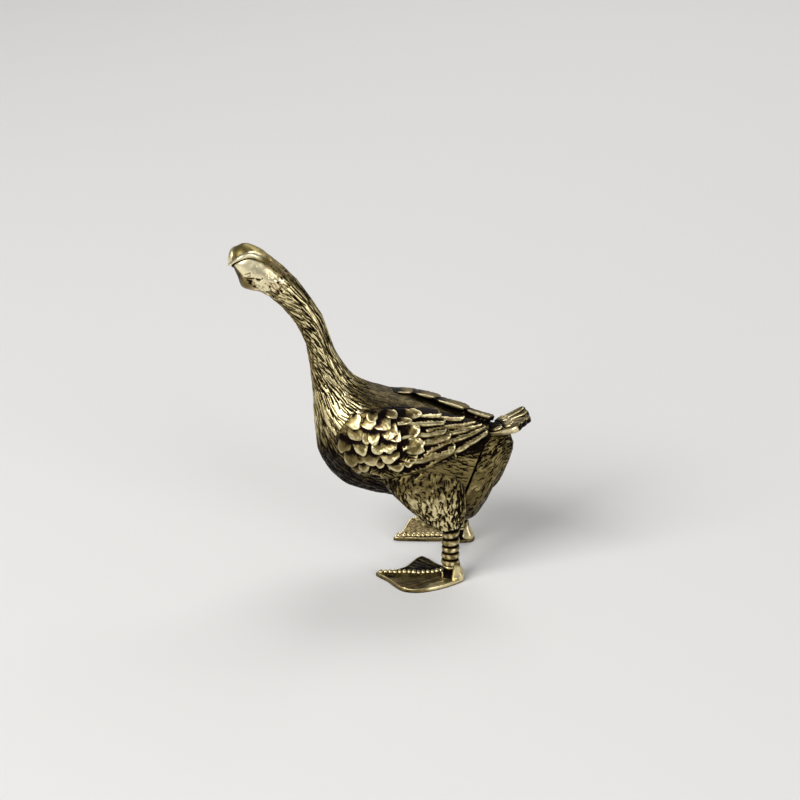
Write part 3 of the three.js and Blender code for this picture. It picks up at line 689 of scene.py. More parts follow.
skins = []
vane_form = {"rim": 0.12, "veins": 0.06, "barb": 0.42, "dome": 0.1, "root": 0.75, "shaft": 1, "shine": 0.95}
for from_middle, length in enumerate(TAIL_LENGTHS, -2):
    turn = math.radians(from_middle * TAIL_SPREAD / 4)
    x, y, z, wear_and_painted_light = vane(length, TAIL_WIDTH, 0.3, TAIL_THICKNESS - 0.3, TAIL_THICKNESS - 0.32, **vane_form)
    wear_and_painted_light = wear_and_painted_light * (0.45 + 0.55 * ease(np.abs(y), 0.35, 0.75))
    # the leftmost feather's outer edge, towards the key lamp, is rubbed bright and carries a painted
    # highlight
    if from_middle == -2:
        wear_and_painted_light = np.maximum(wear_and_painted_light, 0.95 * ease(-y, 0.45, 0.65))
    outwards = abs(from_middle)
    rows = tail_place(x, y, z, turn, from_middle * TAIL_ROOT_PITCH, TAIL_STEP * outwards, outwards)
    skins.append(closed(rows, wear_and_painted_light))
random = np.random.default_rng(31)
for one in range(TAIL_COVERTS):
    turn = math.radians(-19 + 38 * ((one * 4) % TAIL_COVERTS) / (TAIL_COVERTS - 1))
    start = 0.2 + 2.1 * ((one * 7) % TAIL_COVERTS) / TAIL_COVERTS
    length, width = random.uniform(1.4, 1.9), random.uniform(0.85, 1.15)
    x, y, z, wear_and_painted_light = vane(length, width, 0.24, 0.0, 0.2, rim=0.07, veins=0.03, dome=0.45, shine=0.8)
    outwards = abs(math.degrees(turn)) / 10.5
    z = z + TAIL_THICKNESS - 0.08
    rows = tail_place(x + start, y, z, turn, math.degrees(turn) / 14, 0.2 * outwards, outwards)
    skins.append(closed(rows, wear_and_painted_light))
# The tail's brass: rubbed bright along the rims, coppery in spots
tail_brass = antique_brass("antique_brass_tail", "#130C09", "#85764E", "#E9DBAE", pink=0.35, mottle=0.28)
cast_piece("tail", skins, tail_brass)

# Wings. Two brass castings, each pinned and brazed to the body's side, with feathers modelled in the wax:
# scaly coverts at the shoulder, long secondaries with rubbed lower edges that carry a painted highlight, and
# primaries drawn together at the tip.
WING_RIBS_UPPER = [(7.75, 70), (8.6, 36), (9.6, 14), (11.0, 6), (12.9, 4), (15.25, 7)]
WING_RIBS_LOWER = [(8.4, 108), (10.3, 116), (11.8, 109), (12.9, 84), (13.95, 55), (15.2, 29)]
WING_GRID = (360, 170)
EDGE_HEIGHT = -0.15

# Root and tip of each feather as ring and degrees round from the back, then its width
COVERTS = [
    (8.25, 41, 8.9, 57, 1.5),
    (7.5, 79, 8.6, 71, 3.1),
    (8.05, 57, 9.25, 61, 2.3),
    (8.35, 71, 9.22, 87, 2.4),
    (8.85, 67, 9.7, 79, 1.15),
    (9.2, 61, 9.93, 75, 1.5),
    (8.85, 48, 9.88, 54, 2.5),
    (9.45, 53, 10.45, 58, 2.4),
    (9.95, 53, 10.82, 60, 2.0),
    (10.35, 50, 11.43, 42, 2.15),
    (10.7, 61, 12.05, 56, 2.15),
    (9.8, 42, 10.55, 35, 1.2),
    (8.5, 89, 9.4, 108, 2.0),
    (9.15, 79, 10.0, 92, 2.3),
    (9.75, 66, 10.54, 81, 2.3),
    (10.2, 61, 10.95, 75, 2.3),
    (9.3, 92, 10.22, 111, 2.1),
    (9.7, 91, 10.42, 101, 1.6),
    (9.95, 82, 10.74, 96, 2.4),
    (10.55, 70, 11.4, 84, 3.0),
    (11.25, 62, 12.22, 78, 2.4),
    (10.15, 94, 10.82, 106, 1.6),
    (10.7, 84, 11.24, 95, 1.3),
    (11.3, 77, 11.97, 91, 2.7),
    (11.75, 72, 12.2, 82, 1.2),
    (11.05, 86, 11.9, 105, 4.3),
    (10.05, 103, 10.78, 115, 1.9),
    (8.7, 39, 9.67, 36, 1.4),
    (9.55, 30, 10.75, 23, 1.6),
]
STRIPED = {(11.25, 62, 12.22, 78, 2.4), (11.05, 86, 11.9, 105, 4.3)}
SECONDARIES = [
    (10.6, 22, 11.69, 12, 1.7),
    (11.6, 15, 13.08, 4, 2.0),
    (10.35, 35, 12.12, 19, 1.85),
    (10.9, 46, 12.4, 28, 2.0),
    (11.4, 55, 12.78, 32, 1.9),
    (11.7, 77, 13.29, 42, 2.3),
    (11.75, 97, 13.67, 53, 2.3),
]
PRIMARIES = [
    (11.9, 28, 13.9, 5, 2.0),
    (12.2, 37, 14.3, 6, 1.95),
    (12.55, 47, 14.62, 8, 1.95),
    (13.0, 61, 14.85, 15, 1.85),
]
# The long inner feathers of the far wing, which rise above the back with their bright inner edges towards it:
# root and tip, width, height of the root's top and of the tip's above the skin
TERTIALS = [
    (8.7, 15, 10.05, 18, 3.4, 0.1, 1.05),
    (9.7, 14, 11.35, 15, 3.2, 0.8, 1.2),
    (10.9, 13, 13.3, 11, 2.9, 0.85, 1.2),
    (12.8, 12, 15.1, 12, 1.9, 0.85, 1.15),
]
# How each kind of feather is drawn: its table, how much wider it is than the table says, the wavelength of
# the waver in its outline, that waver's share across and along it, and how blunt its tip is
FEATHER_KINDS = {
    "covert": (COVERTS, 1.13, 1.5, 0.07, 0.08, 1.3),
    "secondary": (SECONDARIES, 1.18, 2.6, 0.03, 0, 0.75),
    "primary": (PRIMARIES, 1.18, 2.6, 0.03, 0, 0.75),
}
# Heights above the skin at which the feathers' axes are laid out
FEATHER_HEIGHT = 0.5
TERTIAL_HEIGHT = 0.8


def wing_place(share, across):
    """Station and degrees round from the back, at a share along a wing and a share across it."""
    rib = share * (len(WING_RIBS_UPPER) - 1)
    upper, lower = (along(through(ribs, "held"), rib) for ribs in (WING_RIBS_UPPER, WING_RIBS_LOWER))
    return np.moveaxis(upper + (lower - upper) * across[..., None], -1, 0)


def feather_ends(side, feather, out):
    """Where a feather's root and tip lie on the body's side."""
    return [on_body(side, feather[k], feather[k + 1], out) for k in (0, 2)]


def on_feather(side, feather, points):
    """Points near a feather in its own axes: along it from root to tip, and across it, outwards positive."""
    root, tip = feather_ends(side, feather, FEATHER_HEIGHT)
    station, angle = (feather[0] + feather[2]) / 2, side * math.radians((feather[1] + feather[3]) / 2)
    middle = body_skin(station, angle, FEATHER_HEIGHT)
    outwards = body_skin(station, angle + side * 0.01, FEATHER_HEIGHT) - middle
    forward = unit(tip - root)
    normal = unit(np.cross(forward, outwards))
    across = unit(np.cross(normal, forward))
    offset = points - root
    near = np.abs(offset @ normal) < 2.6
    return offset @ forward, offset @ across, near, np.linalg.norm(tip - root)


def smoothed(field, cells):
    """A field blurred by about so many cells each way."""
    width = 2 * cells + 1
    for axis in (0, 1, 0, 1, 0, 1):
        padding = [(cells, cells) if k == axis else (0, 0) for k in (0, 1)]
        total = np.cumsum(np.pad(field, padding, mode="edge"), axis=axis)
        total = np.insert(total, 0, 0, axis=axis)
        ahead = np.take(total, range(width, total.shape[axis]), axis=axis)
        behind = np.take(total, range(total.shape[axis] - width), axis=axis)
        field = (ahead - behind) / width
    return field


def feathered(side, points, seed):
    """Height and rubbing of the feathers over points of the skin. A place belongs to its highest feather."""
    random = np.random.default_rng(seed)
    bumps = ripple(points, 0.5, 19)
    patches = ripple(points, 1.1, 23)
    height = np.full(points.shape[:2], -1.0)
    shine = np.full(height.shape, 0.05)
    cover = np.full(height.shape, -9.0)
    for kind, (feathers, widening, wavelength, sideways, lengthwise, bluntness) in FEATHER_KINDS.items():
        for feather in feathers:
            x, y, near, length = on_feather(side, feather, points)
            width = feather[4] * widening
            lift, roundness = random.uniform(0.85, 1.1), random.uniform(1.5, 2.4)
            waver = ripple(points, wavelength, int(100 * feather[0]), 8)
            y = y + sideways * width * waver
            a = x / length + lengthwise * np.roll(waver, 9, axis=0)
            half = width / 2 * (0.66 + 0.34 * ease(a, -0.15, 0.5))
            if kind == "primary":
                half = half * (1 - 0.35 * ease(a, 0.4, 1.0))
            c = y / half
            blunt = min(0.85, half.max() / length * bluntness)
            u = np.clip((a - (1 - blunt)) / blunt, 0, None)
            if kind != "covert":
                roundness = 2.0
            q = (np.abs(c) ** roundness + u**roundness) ** (1 / roundness)
            inland = half * (1 - q)
            if kind == "covert":
                # a shallow cup: dark at its root with patina and painted shade under the feather before it,
                # rubbed along the lip of its tip
                rib = 0.5 + 0.5 * np.cos(2 * math.pi * (x * 0.8 - np.abs(y) * 0.6) / 0.42)
                rib = rib * ease(inland, 0.06, 0.3) * (feather in STRIPED)
                lip = ease(q, 0.4, 0.85) * ease(a, 0.25, 0.7)
                top = 0.1 + 0.5 * lift * ease(a, -0.3, 1.1) + 0.07 * lip - 0.1 * np.abs(c) ** 3 + 0.02 * bumps
                top = top * (0.4 + 0.6 * ease(feather[0], 8.2, 9.4)) - 0.05 * rib
                bright = (0.58 * ease(a, 0.2, 0.68) + 0.28 * lip) * (1 + 0.3 * patches * (1 - lip))
                bright = bright - 0.5 * rib
            else:
                # flat and dark above, with patina and painted shade, and a rubbed ridge along the lower edge
                # and round the tip that also carries a painted highlight
                ridge = ease(c, 0.1 + 0.12 * bumps, 0.5 + 0.12 * bumps)
                tip_rim = ease(u, 0.55, 0.85)
                top = 0.2 + 0.2 * ease(a, 0.3, 1.0) + (0.28 if kind == "secondary" else 0.24) * ridge
                top = top - 0.1 * ease(c, 0.7, 1) + 0.08 * tip_rim + 0.02 * bumps * ridge
                bright = 0.02 + 0.72 * ridge**1.8 + 0.5 * tip_rim * ease(c, -0.9, -0.2) + 0.1 * patches
                bright = bright * ease(c, -0.95, -0.5)
            top = top - 0.25 * (1 - rounded(inland, 0.1))
            beyond_root = (a > -0.3) & near
            wins = (inland > 0) & beyond_root & (top > height)
            height = np.where(wins, top, height)
            shine = np.where(wins, bright, shine)
            cover = np.where(beyond_root, np.maximum(cover, inland), cover)
    # between feathers the dark ground shows, and beyond them the wing ends under the body's skin
    ground = -0.3 + (0.38 + 0.03 * bumps) * ease(cover, -0.75, -0.35)
    return np.maximum(height, ground), shine


def wing_casting(side):
    """The closed skin of one wing: the feathers on top, a plain underside that follows the body."""
    share = np.linspace(-0.01, 1.005, WING_GRID[0])[:, None]
    across = np.linspace(0, 1, WING_GRID[1])[None, :]
    station, degrees = wing_place(share, across)
    height, shine = feathered(side, on_body(side, station, degrees, FEATHER_HEIGHT), 41)
    # at the shoulder the wing runs out into the rubbed breast
    shoulder = 1 - ease(station, 8.3, 9.2)
    shine = np.maximum(shine, 0.5 * shoulder * (height < 0.12))
    # what lies lower than its surroundings is darkened with patina and painted shade; what stands proud is
    # brightened
    proud = (height - smoothed(height, 4)) / 0.1
    shine = shine * (0.8 + 0.3 * np.clip(proud, -2.4, 0.8)) + 0.06 * np.clip(proud, 0, 1)
    edge = np.minimum(np.minimum(across, 1 - across) * 14, np.minimum(share + 0.01, 1.005 - share) * 30)
    rim = rounded(edge, 1)
    top = on_body(side, station, degrees, EDGE_HEIGHT + (height - EDGE_HEIGHT) * rim)
    under = on_body(side, *wing_place(share, np.linspace(0.98, 0.02, 8)[None, :]), -0.2)
    # painted shade on what faces down or back
    shine = shine * (1 - 0.32 * ease(degrees, 72, 112)) * (1 - 0.12 * ease(station, 10.5, 12.5)) - 0.02
    wear_and_painted_light = np.hstack([shine * (0.1 + 0.9 * rim**3), np.zeros(under.shape[:2])])
    return closed(np.concatenate([top, under], 1), wear_and_painted_light)


def dot(one, other):
    return (one * other).sum(-1)


def laid_on_body(side, feather, lengthwise, crosswise, out):
    """Carries points of a feather on its own axes over to the body's side, where it follows the skin."""
    root = np.array([feather[0], side * math.radians(feather[1])])
    run = np.array([feather[2], side * math.radians(feather[3])]) - root
    station, angle = np.moveaxis(root + run * lengthwise[..., None], -1, 0)
    step = 1e-3
    here = body_skin(station, angle, TERTIAL_HEIGHT)
    by_station = (body_skin(station + step, angle, TERTIAL_HEIGHT) - here) / step
    by_angle = (body_skin(station, angle + step, TERTIAL_HEIGHT) - here) / step
    forward = unit(by_station * run[0] + by_angle * run[1])
    across = unit(np.cross(unit(np.cross(by_station, by_angle)), forward))
    shift = across * np.sign(dot(across, by_angle))[..., None] * side * crosswise[..., None]
    # how far the shift goes in stations and in angle, which don't lie square to one another
    ss, sa, aa = dot(by_station, by_station), dot(by_station, by_angle), dot(by_angle, by_angle)
    s, t = dot(shift, by_station), dot(shift, by_angle)
    spread = ss * aa - sa * sa
    return body_skin(station + (s * aa - t * sa) / spread, angle + (t * ss - s * sa) / spread, out)


def tertial(side, feather):
    """The closed skin of one inner feather, with a notched bright inner edge."""
    root, tip = feather_ends(side, feather, TERTIAL_HEIGHT)
    length = np.linalg.norm(tip - root)
    width, root_height, tip_height = feather[4:]
    lift = (tip_height - root_height) / 0.7
    base = tip_height - lift
    # the first grows out of the back; the others stand clear of it, with a dark gap below
    depth = base - (0.45 if root_height > 0.3 else 0.0)
    form = {"rim": 0.06, "veins": 0.04, "barb": 0.5, "dome": 0.15, "root": 0.85, "blunt": 1.2}
    x, y, z, wear_and_painted_light = vane(length, width, lift, base, depth, **form)
    notches = ripple(xyz(x, y, 9 * feather[0]), 0.6, 77)
    inner_edge = ease(-y / width, 0.39 + 0.03 * notches, 0.45 + 0.03 * notches)
    wear_and_painted_light = np.maximum(wear_and_painted_light * 0.42, 1.1 * inner_edge * (wear_and_painted_light > 0.02))
    return closed(laid_on_body(side, feather, x / length, y, z + 0.03 * notches + 0.08 * inner_edge), wear_and_painted_light)


# The wings' brass: a black ground with pale rubbed lips, coppery in spots
wing_brass = antique_brass("antique_brass_wing", "#120B0A", "#75673F", "#E2D4A4", pink=0.3)
for side, name in SIDES:
    skins = [wing_casting(side)]
    if side == RIGHT:
        skins += [tertial(side, feather) for feather in TERTIALS]
    cast_piece(f"{name}_wing", skins, wing_brass)

# Thighs. Two brass castings pinned to the body under the wings, cut with short deep dashes, and with thin
# upright ridges down the rear edge.
LEG_X = 10.65
LEG_Y = 5.9
THIGH_SLICES = [
    (0, -1.3, 1.5, -1.3, 1.3),
    (0.6, -2.9, 1.8, -1.7, 1.5),
    (1.7, -4.6, 1.9, -2.2, 1.65),
    (3.2, -6.4, 1.95, -2.8, 1.65),
    (5.2, -8.6, 1.9, -3.2, 1.5),
    (7.4, -9.8, 1.6, -3.4, 1.2),
    (9.6, -7.4, 0.4, -3.4, 0.3),
]
THIGH_SQUARENESS = 0.8
THIGH_GRID = (190, 260)
# Degrees round from the rear of the upright cuts that leave the ridges
REAR_CUTS = (14, 24, 35)
thigh_line = through(THIGH_SLICES, "held")


def fuller(share, power):
    """A sine or cosine pushed out towards 1, which makes an oval slice squarer."""
    return np.sign(share) * np.abs(share) ** power


def thigh_skin(side):
    """The surface of one thigh, by place along its slices and angle round from the rear."""

    def surface(place, angle):
        up, front, rear, inner, outer = np.moveaxis(along(thigh_line, place), -1, 0)
        x = (front + rear) / 2 + (rear - front) / 2 * fuller(np.cos(angle), THIGH_SQUARENESS)
        y = (inner + outer) / 2 + (outer - inner) / 2 * fuller(np.sin(angle), THIGH_SQUARENESS)
        return xyz(LEG_X + x, side * (LEG_Y + y), HIP_HEIGHT + up)

    return surface


for side, name in SIDES:
    stations = np.linspace(0, 6, THIGH_GRID[0])
    angles = once_round(THIGH_GRID[1], -math.pi)
    random = np.random.default_rng(53)
    marks = []
    for station in np.arange(0.1, 5.9, 0.11):
        count = int(5 + 6 * min(station, 3.5))
        for k in range(count):
            angle = -math.pi + 2 * math.pi * (k + random.uniform(0, 1)) / count
            place, turn = station + random.uniform(-0.1, 0.1), random.uniform(-0.75, 0.35)
            length, width = random.uniform(0.35, 1.1), random.uniform(0.045, 0.12)
            depth, bow = random.uniform(0.03, 0.24), random.uniform(-0.1, 0.1)
            marks.append((place, angle, turn, length, width, depth, bow))
    for angle in np.radians(REAR_CUTS):
        marks += [(station, angle, 0.0, 1.6, 0.1, 0.2, 0) for station in np.arange(0.2, 4.6, 0.5)]
    grid, cuts = engraved(thigh_skin(side), stations, angles, marks)
    # a slanting groove at the foot of the thigh, as if the shank had been wrapped once more
    groove = ease(HIP_HEIGHT + 0.45 + 0.28 * (grid[..., 0] - LEG_X) - grid[..., 2], -0.1, 0.1)
    relief = 0.05 * ripple(grid, 2.2, 12) - cuts - 0.3 * groove
    # painted shade on the inner side and on the top under the wing, and a painted highlight towards the rear
    # edge
    wear_and_painted_light = (0.78 - 0.3 * ease(-np.cos(angles), 0.2, 0.9)) * (1 - np.clip(cuts / 0.07, 0, 1))
    wear_and_painted_light = wear_and_painted_light * (0.45 + 0.55 * ease(stations, 5.0, 3.4))[:, None]
    wear_and_painted_light = wear_and_painted_light * (0.6 + 0.4 * ease(np.sin(angles), -0.5, 0.3))
    wear_and_painted_light = np.clip(wear_and_painted_light + 0.17 * ripple(grid, 1.1, 13), 0, 1) * (1 - groove)
    skins = [closed(raised(grid, relief), wear_and_painted_light)]
    cast_piece(f"{name}_thigh", skins, body_brass, flat_caps=True)

# Shanks. Two turned brass bars with a pin at each end, brazed between thigh and ankle: five stout rings, of
# which the upper ones were pressed askew, over a dark core.
SHANK_RINGS = [
    # height of the middle, how tall, lean in degrees
    (2.66, 0.98, 0),
    (3.72, 1.06, 2),
    (4.76, 0.98, 4),
    (5.84, 1.12, 11),
    (7.05, 1.14, 20),
]
RING_RADIUS = 1.27
RING_THICKNESS = 0.42
CORE_RADIUS = 0.98


def node_tree(name, sockets):
    """An empty Geometry Nodes tree with a geometry input, the named inputs and a geometry output."""
    tree = bpy.data.node_groups.new(name, "GeometryNodeTree")
    for socket_name, kind in {"Geometry": "Geometry", **sockets}.items():
        tree.interface.new_socket(socket_name, in_out="INPUT", socket_type=f"NodeSocket{kind}")
    tree.interface.new_socket("Geometry", in_out="OUTPUT", socket_type="NodeSocketGeometry")
    return tree, tree.nodes.new("NodeGroupInput").outputs


def finish_tree(tree, instances, material):
    """Ends a tree: the instances made real, with their material set."""
    real = add(tree, "GeometryNodeRealizeInstances", {"Geometry": instances}).outputs["Geometry"]
    coated = add(tree, "GeometryNodeSetMaterial", {"Geometry": real, "Material": material})
    add(tree, "NodeGroupOutput", {"Geometry": coated.outputs["Geometry"]})


def grow(tree, points, edges, attributes, values):
    """Runs a tree on points and edges and gives back the points and faces that it made."""
    mesh = bpy.data.meshes.new(tree.name)
    mesh.from_pydata(points, edges, [])
    for key, value in attributes.items():
        attribute = mesh.attributes.new(key, "FLOAT_VECTOR", "POINT")
        attribute.data.foreach_set("vector", np.array(value, float).ravel())
    seed = linked(tree.name, mesh)
    modifier = seed.modifiers.new(tree.name, "NODES")
    modifier.node_group = tree
    for socket in tree.interface.items_tree:
        if socket.in_out == "INPUT" and socket.name in values:
            modifier[socket.identifier] = values[socket.name]
    bpy.context.view_layer.update()
    made = bpy.data.meshes.new_from_object(seed.evaluated_get(bpy.context.evaluated_depsgraph_get()))
    seed.modifiers.remove(modifier)
    bpy.data.objects.remove(seed)
    grown = np.array([vertex.co[:] for vertex in made.vertices])
    return grown, [list(polygon.vertices) for polygon in made.polygons]


# The legs' brass: bright on the rings and rims, coppery in spots, black in the grooves
leg_brass = antique_brass("antique_brass_leg", "#120B09", "#7C6D44", "#E2D3A4", pink=0.35, mottle=0.32)

ring_inputs = {"Ring radius": "Float", "Thickness": "Float", "Brass": "Material"}
ring_tree, given = node_tree("ring_stack", ring_inputs)
path_radius = calculate(ring_tree, "SUBTRACT", given["Ring radius"], given["Thickness"])
path, profile = (
    add(ring_tree, "GeometryNodeCurvePrimitiveCircle", {"Resolution": corners, "Radius": radius})
    for corners, radius in ((72, path_radius), (20, given["Thickness"]))
)
curves = {"Curve": path.outputs["Curve"], "Profile Curve": profile.outputs["Curve"]}
ring_shape = add(ring_tree, "GeometryNodeCurveToMesh", curves).outputs["Mesh"]
leans, sizes = (
    add(ring_tree, "GeometryNodeInputNamedAttribute", {"Name": key}, data_type="FLOAT_VECTOR")
    for key in ("lean", "size")
)
placed = {"Points": given["Geometry"], "Instance": ring_shape}
placed |= {"Rotation": leans.outputs["Attribute"], "Scale": sizes.outputs["Attribute"]}
stack = add(ring_tree, "GeometryNodeInstanceOnPoints", placed)
finish_tree(ring_tree, stack.outputs["Instances"], given["Brass"])

for side, name in SIDES:
    middles = [(0, 0, height) for height, _, _ in SHANK_RINGS]
    attributes = {
        "lean": [(math.radians(side * 2), -math.radians(lean), 0) for _, _, lean in SHANK_RINGS],
        "size": [(1, 1, tall / 2 / RING_THICKNESS * 1.02) for _, tall, _ in SHANK_RINGS],
    }
    values = {"Ring radius": RING_RADIUS, "Thickness": RING_THICKNESS, "Brass": leg_brass}
    rings, ring_faces = grow(ring_tree, middles, [], attributes, values)
    radius = np.hypot(rings[:, 0], rings[:, 1])
    rings = rings + rings * [[0.02, 0.02, 0]] * ripple(rings, 1.6, 61 + side)[:, None]
    ring_wear = ease(radius, 1.1, 1.26) * (0.65 + 0.24 * ripple(rings, 0.9, 3))
    heights = np.linspace(1.5, HIP_HEIGHT + 0.3, 20)[:, None]
    turns = once_round(48)
    core = xyz(CORE_RADIUS * np.cos(turns), CORE_RADIUS * np.sin(turns), heights)
    core_points, core_faces, core_wear = closed(core, np.full(core.shape[:2], 0.05))
    axis = np.array([LEG_X, side * LEG_Y, 0])
    skins = [(rings + axis, ring_faces, ring_wear), (core_points + axis, core_faces, core_wear)]
    cast_piece(f"{name}_shank", skins, leg_brass)

# Feet. Two brass castings, flat underneath: a web with a rubbed rim, a beaded middle toe, plain outer toes,
# and an ankle with an upright heel that holds the shank.
FOOT_EDGES = {
    LEFT: [
        (-10.35, 0.3), (-8.7, 1.9), (-6.9, 4.05), (-5.5, 4.72), (-3.6, 4.6), (-1.0, 3.4),
        (1.4, 1.5), (1.9, 0.5), (1.9, -0.6), (0.6, -1.6), (-1.9, -3.1), (-3.3, -4.6),
        (-4.2, -5.1), (-5.0, -4.6), (-5.6, -3.5), (-6.5, -1.9), (-8.0, -0.95), (-10.0, -0.4),
    ],
    RIGHT: [
        (-9.5, 0.3), (-8.6, 1.4), (-7.9, 3.2), (-7.2, 5.3), (-6.1, 6.1), (-4.6, 5.3), (-3.0, 3.8),
        (-1.0, 3.0), (1.3, 1.6), (2.1, 0.6), (2.1, -0.6), (1.2, -1.4), (-2.0, -0.95), (-5.5, -0.85),
        (-9.2, -0.45),
    ],
}
FOOT_TURNS = {LEFT: 4, RIGHT: -10}
FOOT_CENTRES = {LEFT: (-4.0, 0.4), RIGHT: (-4.2, 1.6)}
OUTER_TOES = {LEFT: [(-6.1, 4.2), (-4.3, -4.7)], RIGHT: [(-6.5, 5.5)]}
MIDDLE_TOES = {
    LEFT: [(-9.75, 0.12), (-7.5, 0.0), (-4.5, 0.0), (-2.4, -0.35), (-1.3, -0.9)],
    RIGHT: [(-8.8, 0.05), (-5.0, 0.0), (-1.2, 0)],
}
KNUCKLES = {LEFT: 14, RIGHT: 12}
KNUCKLE_RADII = {LEFT: 0.37, RIGHT: 0.44}
WEB_THICKNESS = 0.42
WEB_EDGE_POINTS = 260
WEB_RIBS = 46


def on_foot(side, points):
    """From a foot's own axes (forward is -x, outwards is +y) to the part's."""
    turn = -side * math.radians(FOOT_TURNS[side])
    x, y, z = points[..., 0], side * points[..., 1], points[..., 2]
    across = side * LEG_Y + x * math.sin(turn) + y * math.cos(turn)
    return xyz(LEG_X + x * math.cos(turn) - y * math.sin(turn), across, z)


def to_line(points, start, end):
    """The distance of points from a line between two places, and how far along it they lie."""
    start, end = np.array(start, float), np.array(end, float)
    run = end - start
    share = np.clip(((points - start) @ run) / (run @ run), 0, 1)
    return np.linalg.norm(points - start - share[..., None] * run, axis=-1), share


def web(side):
    """The closed skin of one web, with its toes as low ridges and its rim rubbed."""
    edge = np.array(FOOT_EDGES[side], float)
    loop = np.vstack([edge[-1:], edge, edge[:2]])
    edge = along(loop, np.linspace(0, len(edge), WEB_EDGE_POINTS, endpoint=False))
    centre = np.array(FOOT_CENTRES[side])
    inward = np.concatenate([np.linspace(0, 0.3, 30), np.linspace(0.32, 0.985, 46)])
    flat = edge[None] + (centre - edge)[None] * inward[:, None, None]
    inland = np.linalg.norm(flat[:, :, None] - edge[None, None], axis=-1).min(-1)
    bend = rounded(inland, 0.2)
    lip = bell(inland, 0.2, 0.16)
    x, y = flat[..., 0], flat[..., 1]
    # a smooth rubbed band along the outer edge, towards the ankle
    band = ease(x, -5.0, -2.0) * ease(y, -0.2, 0.8) * ease(inland, 1.9, 1.0)
    toe_line = MIDDLE_TOES[side]
    from_toe = np.min([to_line(flat, a, b)[0] for a, b in zip(toe_line, toe_line[1:])], axis=0)
    spine = bell(from_toe, 0, 0.33)
    ridges = np.zeros_like(x)
    for toe in OUTER_TOES[side]:
        off, share = to_line(flat, (-0.4, 0.2), toe)
        ridges = np.maximum(ridges, bell(off, 0, 0.3) * ease(share, 0.0, 0.2))
    ribs = (0.5 + 0.5 * np.cos(np.arctan2(y, x) * WEB_RIBS)) * ease(np.hypot(x, y), 1.5, 3.0)
    sole = xyz(x, y, 0)
    rough = ripple(sole, 0.8, 71) * ease(inland, 0.3, 0.6)
    height = WEB_THICKNESS * (0.35 + 0.65 * bend) + 0.1 * lip + 0.1 * band + 0.2 * spine + 0.12 * ridges
    height += 0.04 * rough * (1 - band) - 0.05 * ribs * ease(inland, 0.25, 0.6) * (1 - spine) * (1 - band)
    # painted shade: the left foot's inner half, under the body, is darkened
    inner = ease(y, -0.6, -1.4) * (side == LEFT)
    shine = 0.44 + 0.1 * ripple(sole, 1.7, 73) - 0.3 * ribs * (0.3 + inner) - 0.12 * bell(from_toe, 0.8, 0.6)
    shine = np.maximum(shine - 0.2 * inner, (0.95 - 0.5 * inner) * lip * bend)
    shine = np.maximum(shine, (0.78 + 0.12 * rough) * band)
    shine = np.maximum(shine, (0.55 - 0.4 * inner) * ridges)
    top = xyz(x, y, height)
    under = np.stack([edge * 0.5 + centre * 0.5, edge * 0.999 + centre * 0.001])
    under = xyz(under[..., 0], under[..., 1], 0)
    rows = np.concatenate([under, top[:1] * [1, 1, 0.5], top])
    wear_and_painted_light = np.concatenate([np.full((2, len(edge)), 0.1), shine[:1] * 0.7, shine])
    return closed(on_foot(side, rows), wear_and_painted_light)


# Level slices of the upright heel: height, then front, rear, inner and outer sides from the leg's axis
HEEL_SLICES = [
    (0.2, -0.2, 2.0, -1.2, 1.45),
    (0.6, 0.0, 2.0, -1.2, 1.4),
    (1.0, 0.15, 1.9, -1.15, 1.3),
    (1.5, 0.25, 1.6, -1.0, 1.25),
    (2.1, 0.35, 1.4, -0.75, 1.2),
    (2.6, 0.45, 1.32, -0.5, 1.0),
]
# Level rings of the ankle, a dark hollow waist under the lowest ring of the shank: height, radius and wear
ANKLE_RINGS = [
    (0.2, 1.75, 0.3),
    (0.45, 1.6, 0.3),
    (0.62, 1.3, 0.05),
    (0.85, 1.08, 0.05),
    (1.3, 1.0, 0.05),
    (1.8, 1.02, 0.05),
    (2.0, 1.12, 0.7),
    (2.12, 1.1, 0.7),
    (2.2, 0.9, 0.7),
]
# Level slices of a small bright ridge on the front of the ankle: height and size
RIDGE_SLICES = [(0.4, 1.2), (0.7, 1.1), (1.0, 1.0), (1.3, 0.7), (1.42, 0.3)]


def heel(side):
    """The upright heel, darker at its front edge and at its top."""
    place = np.linspace(0, len(HEEL_SLICES) - 1, 40)
    turns = once_round(64)
    up, front, rear, inner, outer = np.moveaxis(along(through(HEEL_SLICES), place), -1, 0)[..., None]
    x = (front + rear) / 2 + (rear - front) / 2 * fuller(np.cos(turns), 0.6)
    y = (inner + outer) / 2 + (outer - inner) / 2 * fuller(np.sin(turns), 0.6)
    rows = xyz(x, y, up)
    rows += 0.03 * ripple(rows, 1.2, 83)[..., None] * [1, 1, 0]
    shine = 0.45 + 0.5 * ease(x - front, 0.1, 0.5) * ease(up, 2.6, 1.9)
    return closed(on_foot(side, rows), shine)


def ankle(side):
    """The waisted ankle, with a low foot and a bright collar."""
    height, radius, wear_and_painted_light = np.array(ANKLE_RINGS).T[..., None]
    turns = once_round(56)
    rows = xyz(radius * np.cos(turns), radius * np.sin(turns), height)
    return closed(on_foot(side, rows), np.repeat(wear_and_painted_light, len(turns), 1))


def ankle_ridge(side):
    """The small upright ridge on the front of the ankle."""
    height, size = np.array(RIDGE_SLICES).T[..., None]
    turns = once_round(16)
    rows = xyz(-1.15 + 0.12 * size + 0.13 * size * np.cos(turns), 0.95 + 0.16 * size * np.sin(turns), height)
    return closed(on_foot(side, rows), np.full(rows.shape[:2], 0.9))


